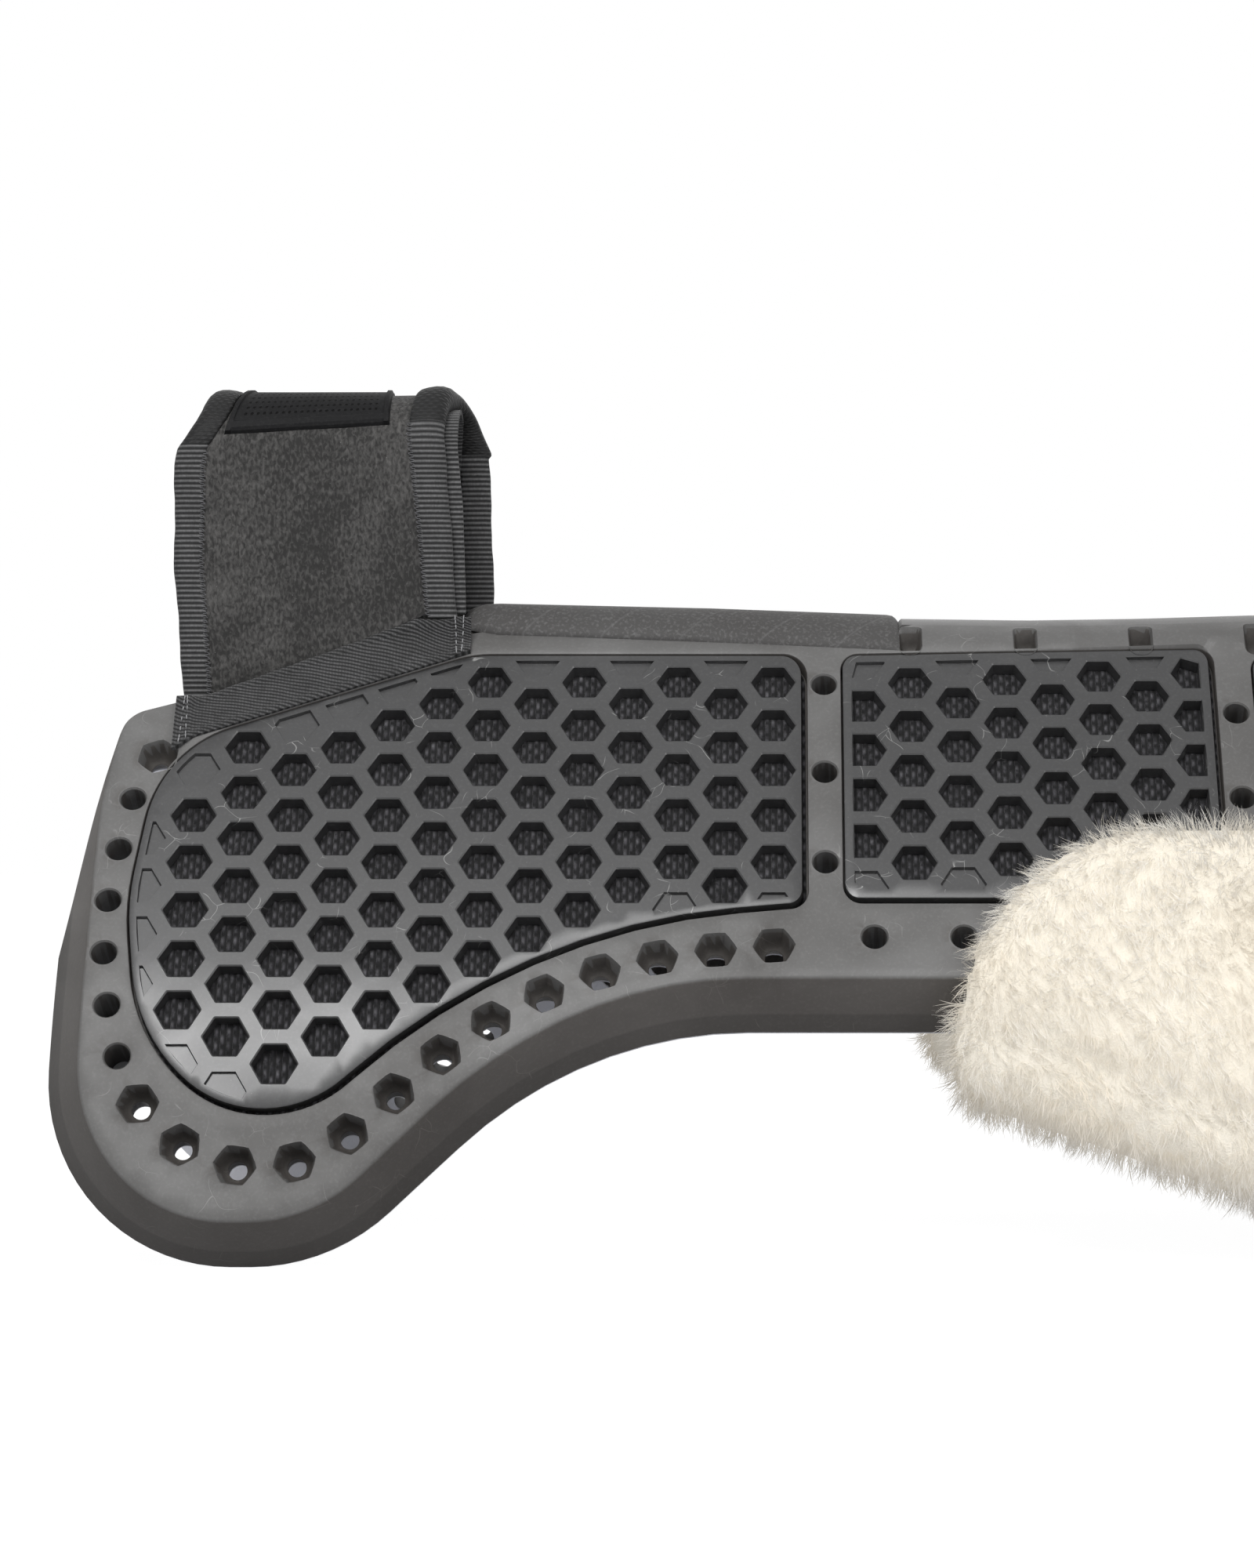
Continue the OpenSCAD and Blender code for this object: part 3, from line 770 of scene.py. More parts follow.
class Bench:
    """Adds and joins the nodes of one tree."""

    def __init__(self, tree: bpy.types.NodeTree) -> None:
        """Works on a tree."""
        self.tree = tree

    def add(self, kind: str, inputs: Optional[dict] = None, **settings: object) -> bpy.types.Node:
        """Adds a node.

        Args:
            kind: The node's type name.
            inputs: Values or sockets for its inputs, by name or number.
            settings: Properties of the node.

        Returns:
            The node.
        """
        node = self.tree.nodes.new(kind)
        for key, value in settings.items():
            setattr(node, key, value)
        for key, value in (inputs or {}).items():
            socket = node.inputs[key]
            if isinstance(value, bpy.types.NodeSocket):
                self.tree.links.new(value, socket)
            else:
                socket.default_value = value
        return node

    def math(self, operation: str, a: object, b: object = 0.0) -> bpy.types.NodeSocket:
        """Result of a math node."""
        return self.add("ShaderNodeMath", {0: a, 1: b}, operation=operation).outputs[0]

    def ramp(self, value: bpy.types.NodeSocket, *stops: tuple[float, tuple]) -> bpy.types.NodeSocket:
        """Colour of a ramp with the given stops.

        Args:
            value: What the ramp reads.
            *stops: Each stop's place and colour.

        Returns:
            The ramp's colour.
        """
        node = self.add("ShaderNodeValToRGB", {0: value})
        ramp = node.color_ramp
        while len(ramp.elements) < len(stops):
            ramp.elements.new(0.5)
        for element, (place, colour) in zip(ramp.elements, stops):
            element.position = place
            element.color = (*colour, 1.0) if len(colour) == 3 else colour
        return node.outputs[0]

    def mix(self, factor: object, a: object, b: object, blend: str = "MIX") -> bpy.types.NodeSocket:
        """Mix of two colours.

        Args:
            factor: Share of the second colour.
            a: The first colour.
            b: The second colour.
            blend: The way that the two are mixed.

        Returns:
            The mixed colour.
        """
        node = self.add("ShaderNodeMix", data_type="RGBA", blend_type=blend)
        for index, value in ((0, factor), (6, a), (7, b)):
            if isinstance(value, bpy.types.NodeSocket):
                self.tree.links.new(value, node.inputs[index])
            else:
                if index and len(value) == 3:
                    value = (*value, 1.0)
                node.inputs[index].default_value = value
        return node.outputs[2]


def group_tree(
    name: str, inputs: Sequence[tuple], outputs: Sequence[tuple]
) -> tuple[Bench, dict, bpy.types.Node]:
    """A shader node group with named inputs and outputs.

    Args:
        name: Name of the group.
        inputs: Name, socket type and default of each input.
        outputs: Name and socket type of each output.

    Returns:
        The bench on the group, its input sockets by name, and its output node.
    """
    tree = bpy.data.node_groups.new(name, "ShaderNodeTree")
    for label, kind, default in inputs:
        socket = tree.interface.new_socket(name=label, in_out="INPUT", socket_type=kind)
        socket.default_value = default
    for label, kind in outputs:
        tree.interface.new_socket(name=label, in_out="OUTPUT", socket_type=kind)
    bench = Bench(tree)
    source = bench.add("NodeGroupInput")
    sink = bench.add("NodeGroupOutput")
    return bench, {label: source.outputs[label] for label, _, _ in inputs}, sink


def rubber_group() -> bpy.types.NodeTree:
    """Moulded rubber: cloudy colour, fine grain, pale specks and hair scratches.

    Returns:
        The group.
    """
    colour, number = "NodeSocketColor", "NodeSocketFloat"
    b, i, out = group_tree(
        "moulded_rubber",
        [("Colour", colour, (0.2, 0.2, 0.2, 1)), ("Bloom", colour, (0.3, 0.3, 0.3, 1)),
         ("Bloom amount", number, 0.5), ("Grain", number, 0.4), ("Marks", number, 0.4),
         ("Roughness", number, 0.6)],
        [("Colour", colour), ("Roughness", number), ("Height", number)],
    )
    place = b.add("ShaderNodeTexCoord").outputs["Object"]
    cloud = b.add("ShaderNodeTexNoise", {"Vector": place, "Scale": 17.0, "Detail": 5.0, "Roughness": 0.55,
                                         "Distortion": 0.6}).outputs[0]
    wide = b.add("ShaderNodeTexNoise", {"Vector": place, "Scale": 5.0, "Detail": 2.0}).outputs[0]
    bloom = b.ramp(cloud, (0.38, (0, 0, 0)), (0.72, (1, 1, 1)))
    bloom = b.math("MULTIPLY", b.math("MULTIPLY", bloom, i["Bloom amount"]), b.math("ADD", wide, 0.35))
    body = b.mix(bloom, i["Colour"], i["Bloom"])
    grain = b.add("ShaderNodeTexNoise", {"Vector": place, "Scale": 900.0, "Detail": 2.0}).outputs[0]
    pores = b.add("ShaderNodeTexNoise", {"Vector": place, "Scale": 260.0, "Detail": 3.0}).outputs[0]
    speck = b.add("ShaderNodeTexVoronoi", {"Vector": place, "Scale": 210.0}).outputs["Distance"]
    speck = b.ramp(speck, (0.0, (1, 1, 1)), (0.055, (0, 0, 0)))
    bent = b.add("ShaderNodeTexNoise", {"Vector": place, "Scale": 58.0, "Detail": 1.0}).outputs[1]
    route = b.add("ShaderNodeVectorMath", {0: place, 1: b.add(
        "ShaderNodeVectorMath", {0: bent, "Scale": 0.022}, operation="SCALE").outputs[0]}).outputs[0]
    hair = b.add("ShaderNodeTexVoronoi", {"Vector": route, "Scale": 88.0}, feature="DISTANCE_TO_EDGE")
    hair = b.ramp(hair.outputs["Distance"], (0.0, (1, 1, 1)), (0.011, (0, 0, 0)))
    gate = b.ramp(b.add("ShaderNodeTexNoise", {"Vector": place, "Scale": 75.0, "Detail": 2.0}).outputs[0],
                  (0.57, (0, 0, 0)), (0.63, (1, 1, 1)))
    marks = b.math("MAXIMUM", b.math("MULTIPLY", hair, gate), b.math("MULTIPLY", speck, 0.5))
    marks = b.math("MULTIPLY", marks, i["Marks"])
    paler = b.mix(b.math("MULTIPLY", b.math("SUBTRACT", grain, 0.5), i["Grain"]), body, (0.5, 0.5, 0.5))
    marked = b.mix(marks, paler, (0.42, 0.42, 0.41))
    rough = b.math("ADD", i["Roughness"], b.math("MULTIPLY", b.math("SUBTRACT", cloud, 0.5), -0.28))
    height = b.math("ADD", b.math("MULTIPLY", grain, i["Grain"]), b.math("MULTIPLY", pores, 0.35))
    b.tree.links.new(marked, out.inputs["Colour"])
    b.tree.links.new(rough, out.inputs["Roughness"])
    b.tree.links.new(b.math("ADD", height, b.math("MULTIPLY", marks, 0.5)), out.inputs["Height"])
    return b.tree


def cloth_group() -> bpy.types.NodeTree:
    """Cloth fuzz: uneven dye, lint specks and a fine fibre height.

    Returns:
        The group.
    """
    colour, number = "NodeSocketColor", "NodeSocketFloat"
    b, i, out = group_tree(
        "cloth_fuzz",
        [("Colour", colour, (0.2, 0.2, 0.2, 1)), ("Light", colour, (0.4, 0.4, 0.4, 1)),
         ("Mottle scale", number, 40.0), ("Mottle", number, 0.5), ("Fibre scale", number, 1500.0),
         ("Lint", number, 0.2)],
        [("Colour", colour), ("Height", number)],
    )
    place = b.add("ShaderNodeTexCoord").outputs["Object"]
    mottle = b.add("ShaderNodeTexNoise", {"Vector": place, "Scale": i["Mottle scale"], "Detail": 6.0,
                                          "Roughness": 0.6, "Distortion": 0.8}).outputs[0]
    combed = b.add("ShaderNodeVectorMath", {0: place, 1: (1.0, 1.0, 0.55)}, operation="MULTIPLY").outputs[0]
    fibre = b.add("ShaderNodeTexNoise", {"Vector": combed, "Scale": i["Fibre scale"], "Detail": 3.0,
                                         "Distortion": 0.5}).outputs[0]
    share = b.ramp(mottle, (0.3, (0, 0, 0)), (0.72, (1, 1, 1)))
    share = b.math("MULTIPLY", share, i["Mottle"])
    share = b.math("ADD", share, b.math("MULTIPLY", b.math("SUBTRACT", fibre, 0.5), 0.9))
    body = b.mix(share, i["Colour"], i["Light"])
    lint = b.add("ShaderNodeTexVoronoi", {"Vector": place, "Scale": 330.0}).outputs["Distance"]
    lint = b.math("MULTIPLY", b.ramp(lint, (0.0, (1, 1, 1)), (0.05, (0, 0, 0))), i["Lint"])
    b.tree.links.new(b.mix(lint, body, (0.5, 0.5, 0.5)), out.inputs["Colour"])
    b.tree.links.new(fibre, out.inputs["Height"])
    return b.tree


@dataclass(frozen=True)
class Finish:
    """What every finish has: its name, the record's slot and the shared groups."""

    name: str
    slot: str
    colour: tuple[float, float, float]
    light: tuple[float, float, float]
    roughness: float = 0.8
    bump_mm: float = 0.1

    def start(self) -> tuple[Bench, bpy.types.Node, bpy.types.Material]:
        """An empty material with its Principled shader.

        Returns:
            The bench, the shader and the material.
        """
        material = bpy.data.materials.new(self.name)
        material.use_nodes = True
        material.node_tree.nodes.clear()
        material.diffuse_color = (*self.colour, 1.0)
        bench = Bench(material.node_tree)
        sink = bench.add("ShaderNodeOutputMaterial")
        shader = bench.add("ShaderNodeBsdfPrincipled")
        shader.inputs["Roughness"].default_value = self.roughness
        bench.tree.links.new(shader.outputs[0], sink.inputs["Surface"])
        return bench, shader, material

    def bump(self, bench: Bench, shader: bpy.types.Node, height: bpy.types.NodeSocket) -> None:
        """Feeds a height into the shader's normal."""
        node = bench.add("ShaderNodeBump", {"Height": height, "Distance": self.bump_mm * MM, "Strength": 1.0})
        bench.tree.links.new(node.outputs[0], shader.inputs["Normal"])


@dataclass(frozen=True)
class Rubber(Finish):
    """A moulded rubber."""

    bloom: float = 0.5
    grain: float = 0.4
    marks: float = 0.4
    specular: float = 0.5
    # Tint of the painted shade on the bevel, the walls under it and inside the cups; white paints none.
    below: tuple[float, float, float] = (1.0, 1.0, 1.0)
    slanted_lines: bool = False
    dots: bool = False

    def make(self, group: bpy.types.NodeTree) -> bpy.types.Material:
        """Builds the material round the rubber group.

        Args:
            group: The shader group that the material is built round.

        Returns:
            The material.
        """
        b, shader, material = self.start()
        node = b.add("ShaderNodeGroup", node_tree=group)
        for label, value in (
            ("Colour", (*self.colour, 1)), ("Bloom", (*self.light, 1)), ("Bloom amount", self.bloom),
            ("Grain", self.grain), ("Marks", self.marks), ("Roughness", self.roughness),
        ):
            node.inputs[label].default_value = value
        colour, height = node.outputs["Colour"], node.outputs["Height"]
        # Painted shade: darkens the bevel, the walls and the cups by the depth attribute.
        if self.below != (1.0, 1.0, 1.0):
            colour = b.mix(1.0, colour, self.shade_below(b), "MULTIPLY")
        if self.slanted_lines:
            line = self.slanted(b)
            colour = b.mix(b.math("MULTIPLY", line, 0.22), colour, (0.16, 0.16, 0.16))
            height = b.math("ADD", height, b.math("MULTIPLY", line, 0.8))
        if self.dots:
            dot = self.dot_grid(b)
            colour = b.mix(dot, colour, (0.0015, 0.0015, 0.0015))
            height = b.math("SUBTRACT", height, b.math("MULTIPLY", dot, 14.0))
        b.tree.links.new(colour, shader.inputs["Base Color"])
        b.tree.links.new(node.outputs["Roughness"], shader.inputs["Roughness"])
        shader.inputs["Specular IOR Level"].default_value = self.specular
        self.bump(b, shader, height)
        return material

    def shade_below(self, b: Bench) -> bpy.types.NodeSocket:
        """Painted shade by depth under the face: the bevel is painted darker, the wall under it darker still.

        Args:
            b: The material's bench.

        Returns:
            The tint of the painted shade.
        """
        depth = b.add("ShaderNodeAttribute", attribute_name="depth").outputs["Fac"]
        share = b.math("DIVIDE", depth, -20.0)
        wall = tuple(v * 0.72 for v in self.below)
        return b.ramp(share, (0.012, (1.0, 1.0, 1.0)), (0.04, self.below), (0.60, self.below),
                      (0.635, wall), (0.9, tuple(v * 0.9 for v in wall)))

    @staticmethod
    def slanted(b: Bench) -> bpy.types.NodeSocket:
        """Faint slanted marks across a band.

        Args:
            b: The material's bench.

        Returns:
            The mask of the marks.
        """
        parts = b.add("ShaderNodeSeparateXYZ", {0: b.add("ShaderNodeUVMap", uv_map="flat").outputs[0]})
        lean = b.math("MULTIPLY", parts.outputs[1], 1.1)
        place = b.math("ADD", b.math("DIVIDE", b.math("ADD", parts.outputs[0], lean), 29.5), 0.18)
        away = b.math("ABSOLUTE", b.math("SUBTRACT", b.math("FRACT", place), 0.5))
        return b.ramp(away, (0.0, (1, 1, 1)), (0.028, (0, 0, 0)))

    @staticmethod
    def dot_grid(b: Bench) -> bpy.types.NodeSocket:
        """Small round pits in even rows inside the plate's rim.

        Args:
            b: The material's bench.

        Returns:
            The mask of the pits.
        """
        parts = b.add("ShaderNodeSeparateXYZ", {0: b.add("ShaderNodeUVMap", uv_map="flat").outputs[0]})
        gaps, fences = [], []
        for socket, low, high in ((parts.outputs[0], 4.2, 53.8), (parts.outputs[1], 5.2, 23.5)):
            cell = b.math("SUBTRACT", b.math("FRACT", b.math("DIVIDE", socket, 2.25)), 0.5)
            gaps.append(b.math("MULTIPLY", cell, cell))
            fences += [b.math("GREATER_THAN", socket, low), b.math("LESS_THAN", socket, high)]
        away = b.math("SQRT", b.math("ADD", *gaps))
        dot = b.ramp(away, (0.15, (1, 1, 1)), (0.24, (0, 0, 0)))
        for fence in fences:
            dot = b.math("MULTIPLY", dot, fence)
        return dot


@dataclass(frozen=True)
class Cloth(Finish):
    """A cloth, with a weave that follows the piece's own UV map in millimetres."""

    mottle_scale: float = 40.0
    mottle: float = 0.5
    fibre_scale: float = 1500.0
    lint: float = 0.2
    sheen: float = 0.3
    weave: str = "none"
    pitch: float = 1.0

    def make(self, group: bpy.types.NodeTree) -> bpy.types.Material:
        """Builds the material round the cloth group.

        Args:
            group: The shader group that the material is built round.

        Returns:
            The material.
        """
        b, shader, material = self.start()
        node = b.add("ShaderNodeGroup", node_tree=group)
        for label, value in (
            ("Colour", (*self.colour, 1)), ("Light", (*self.light, 1)), ("Lint", self.lint),
            ("Mottle scale", self.mottle_scale), ("Mottle", self.mottle), ("Fibre scale", self.fibre_scale),
        ):
            node.inputs[label].default_value = value
        colour, height = node.outputs["Colour"], node.outputs["Height"]
        if self.weave != "none":
            pattern = self.pattern(b)
            colour = b.mix(pattern, b.mix(1.0, colour, (0.07, 0.07, 0.072), "MULTIPLY"), colour)
            height = b.math("ADD", b.math("MULTIPLY", height, 0.25), pattern)
        b.tree.links.new(colour, shader.inputs["Base Color"])
        shader.inputs["Sheen Weight"].default_value = self.sheen
        shader.inputs["Sheen Roughness"].default_value = 0.45
        shader.inputs["Specular IOR Level"].default_value = 0.25
        self.bump(b, shader, height)
        return material

    def pattern(self, b: Bench) -> bpy.types.NodeSocket:
        """The weave's height, from 0 in the gaps to 1 on the threads.

        Args:
            b: The material's bench.

        Returns:
            The height.
        """
        flat = b.add("ShaderNodeUVMap", uv_map="flat").outputs[0]
        parts = b.add("ShaderNodeSeparateXYZ", {0: flat})
        u, v = parts.outputs[0], parts.outputs[1]
        turn = 2 * math.pi / self.pitch
        if self.weave == "rib":
            return self._wave(b, b.math("MULTIPLY", u, turn))
        if self.weave == "twill":
            line = b.math("ADD", b.math("MULTIPLY", u, turn), b.math("MULTIPLY", v, turn * 1.6))
            cross = self._wave(b, b.math("MULTIPLY", u, turn * 2.1))
            return b.math("MULTIPLY", self._wave(b, line), b.math("ADD", b.math("MULTIPLY", cross, 0.4), 0.6))
        warp = self._wave(b, b.math("MULTIPLY", u, turn))
        row = b.math("ADD", b.math("MULTIPLY", v, turn * 0.42), b.math("MULTIPLY", b.math(
            "FLOOR", b.math("DIVIDE", u, self.pitch)), math.pi))
        return b.math("MULTIPLY", warp, self._wave(b, row))

    @staticmethod
    def _wave(b: Bench, angle: bpy.types.NodeSocket) -> bpy.types.NodeSocket:
        """A wave between 0 and 1."""
        return b.math("ADD", b.math("MULTIPLY", b.math("SINE", angle), 0.5), 0.5)


@dataclass(frozen=True)
class Pile(Finish):
    """Fleece strands, darker at the root than at the tip.

    The emission stands in for the light that scatters from strand to strand inside the pile.
    """

    tip: tuple[float, float, float] = (0.93, 0.91, 0.86)
    combed: bool = True
    dim: float = 0.76
    scattered: float = 0.46
    through: float = 0.35

    def make(self) -> bpy.types.Material:
        """Builds the material.

        Returns:
            The material.
        """
        b, shader, material = self.start()
        place = b.add("ShaderNodeTexCoord").outputs["Object"]
        warm = b.add("ShaderNodeTexNoise", {"Vector": place, "Scale": 14.0, "Detail": 3.0}).outputs[0]
        warm = b.ramp(warm, (0.46, (0, 0, 0)), (0.70, (1, 1, 1)))
        body = b.mix(b.math("MULTIPLY", warm, 0.8), self.tip, self.light)
        along = b.add("ShaderNodeAttribute", attribute_name="along").outputs["Fac"]
        colour = b.mix(along, self.colour, body)
        dim = b.mix(1.0, colour, (self.dim, self.dim, self.dim), "MULTIPLY")
        b.tree.links.new(dim, shader.inputs["Base Color"])
        b.tree.links.new(colour, shader.inputs["Emission Color"])
        shader.inputs["Emission Strength"].default_value = self.scattered
        shader.inputs["Sheen Weight"].default_value = 0.2
        shader.inputs["Specular IOR Level"].default_value = 0.15
        soft = b.add("ShaderNodeNewGeometry").outputs["Normal"]
        if self.combed:
            lay = b.add("ShaderNodeAttribute", attribute_name="lay").outputs["Vector"]
            lay = b.add("ShaderNodeVectorTransform", {0: lay}, vector_type="NORMAL", convert_from="OBJECT",
                        convert_to="WORLD").outputs[0]
            own = b.add("ShaderNodeVectorMath", {0: soft, "Scale": 0.2}, operation="SCALE").outputs[0]
            soft = b.add("ShaderNodeVectorMath", {0: lay, 1: own}).outputs[0]
            soft = b.add("ShaderNodeVectorMath", {0: soft}, operation="NORMALIZE").outputs[0]
        fibre = b.add("ShaderNodeTexNoise", {"Vector": place, "Scale": 1400.0, "Detail": 2.0}).outputs[0]
        bump = {"Height": fibre, "Distance": self.bump_mm * MM, "Normal": soft}
        soft = b.add("ShaderNodeBump", bump).outputs[0]
        b.tree.links.new(soft, shader.inputs["Normal"])
        glow = b.add("ShaderNodeBsdfTranslucent", {"Color": dim})
        both = b.add("ShaderNodeMixShader", {0: self.through, 1: shader.outputs[0], 2: glow.outputs[0]})
        sink = next(n for n in b.tree.nodes if n.bl_idname == "ShaderNodeOutputMaterial")
        b.tree.links.new(both.outputs[0], sink.inputs["Surface"])
        return material


class Finishes:
    """Builds each material once."""

    SPECS: tuple[Finish, ...] = (
        # pad_rubber's below tint is painted shade on the bevel, the walls under it and inside the cups.
        Rubber("pad_rubber", "rubber", (0.074, 0.072, 0.070), (0.150, 0.150, 0.149), 0.52, 0.06,
               bloom=0.6, grain=0.16, marks=0.22, specular=0.34, below=(0.62, 0.58, 0.55)),
        Rubber("facing_foam", "facing", (0.050, 0.048, 0.047), (0.066, 0.066, 0.065), 0.72, 0.09,
               bloom=0.5, grain=0.4, marks=0.0, specular=0.25, slanted_lines=True),
        Rubber("shim_rubber", "shim_rubber", (0.019, 0.019, 0.0195), (0.046, 0.046, 0.047), 0.35, 0.03,
               bloom=0.8, grain=0.10, marks=0.5, specular=0.58),
        Rubber("badge_rubber", "badge", (0.009, 0.009, 0.0095), (0.013, 0.013, 0.0135), 0.6, 0.03,
               bloom=0.4, grain=0.05, marks=0.0, specular=0.08, dots=True),
        Cloth("pocket_lining", "lining", (0.014, 0.0135, 0.016), (0.20, 0.195, 0.21), 0.85, 0.5,
              mottle_scale=230.0, mottle=0.42, fibre_scale=600.0, lint=0.7, sheen=0.3, weave="plain",
              pitch=2.1),
        Cloth("under_knit", "under_knit", (0.66, 0.67, 0.71), (0.76, 0.77, 0.80), 0.9, 0.1,
              mottle_scale=60.0, mottle=0.4, lint=0.0, sheen=0.4),
        Cloth("strap_velour", "velour", (0.022, 0.0215, 0.0210), (0.195, 0.190, 0.184), 0.95, 0.5,
              mottle_scale=24.0, mottle=0.26, fibre_scale=900.0, lint=0.5, sheen=0.2),
        Cloth("grosgrain", "binding", (0.086, 0.086, 0.0865), (0.215, 0.215, 0.217), 0.78, 0.5,
              mottle_scale=60.0, mottle=0.35, fibre_scale=1300.0, lint=0.2, sheen=0.1, weave="rib",
              pitch=1.75),
        Cloth("selvedge", "tab_tape", (0.016, 0.016, 0.0165), (0.05, 0.05, 0.051), 0.8, 0.3,
              mottle_scale=120.0, mottle=0.4, fibre_scale=1300.0, lint=0.2, sheen=0.1, weave="twill",
              pitch=1.1),
        Cloth("satin", "binding", (0.006, 0.006, 0.0065), (0.030, 0.030, 0.031), 0.62, 0.2,
              mottle_scale=110.0, mottle=0.45, fibre_scale=1100.0, lint=0.5, sheen=0.05, weave="plain",
              pitch=1.2),
        Cloth("twill_tape", "tab_tape", (0.060, 0.060, 0.0605), (0.165, 0.165, 0.168), 0.8, 0.4,
              mottle_scale=120.0, mottle=0.4, fibre_scale=1300.0, lint=0.3, sheen=0.1, weave="twill",
              pitch=2.3),
        Cloth("hook_and_loop", "hook_loop", (0.010, 0.010, 0.010), (0.04, 0.04, 0.04), 0.95, 0.5,
              mottle_scale=400.0, mottle=0.7, fibre_scale=1500.0, lint=0.3, sheen=0.2),
        Cloth("fleece_knit", "knit", (0.72, 0.71, 0.67), (0.82, 0.81, 0.77), 0.95, 0.3,
              mottle_scale=60.0, mottle=0.4, lint=0.0, sheen=0.4, weave="plain", pitch=1.3),
        Cloth("thread", "binding", (0.045, 0.045, 0.047), (0.15, 0.15, 0.16), 0.6, 0.05,
              mottle_scale=300.0, mottle=0.6, fibre_scale=2500.0, lint=0.0, sheen=0.2),
        Cloth("pale_thread", "tab_tape", (0.20, 0.20, 0.205), (0.40, 0.40, 0.41), 0.6, 0.05,
              mottle_scale=300.0, mottle=0.6, fibre_scale=2500.0, lint=0.0, sheen=0.2),
        Pile("fleece_core", "fleece", (0.92, 0.87, 0.77), (0.92, 0.82, 0.66), 0.95, 0.6,
             tip=(0.96, 0.93, 0.87), combed=False),
        Pile("fleece_pile", "fleece", (0.90, 0.83, 0.71), (0.92, 0.82, 0.66), 0.9,
             tip=(0.965, 0.945, 0.90)),
    )

    def __init__(self) -> None:
        """Makes the shared groups and every material."""
        rubber, cloth = rubber_group(), cloth_group()
        self.slots = {spec.name: spec.slot for spec in self.SPECS}
        self.made: dict[str, bpy.types.Material] = {}
        for spec in self.SPECS:
            if isinstance(spec, Rubber):
                self.made[spec.name] = spec.make(rubber)
            elif isinstance(spec, Cloth):
                self.made[spec.name] = spec.make(cloth)
            elif isinstance(spec, Pile):
                self.made[spec.name] = spec.make()

    def dress(self, piece: bpy.types.Object, *names: str) -> None:
        """Gives a piece its materials.

        Args:
            piece: The piece.
            *names: Names of its materials.
        """
        piece.data.materials.clear()
        for name in names:
            piece.data.materials.append(self.made[name])


# ---------------------------------------------------------------- moulded pad


@dataclass(frozen=True)
class Hole:
    """A hole or a cup in the border: its loops down from the face."""

    centre: tuple[float, float]
    rings: tuple[tuple[Array, float], ...]


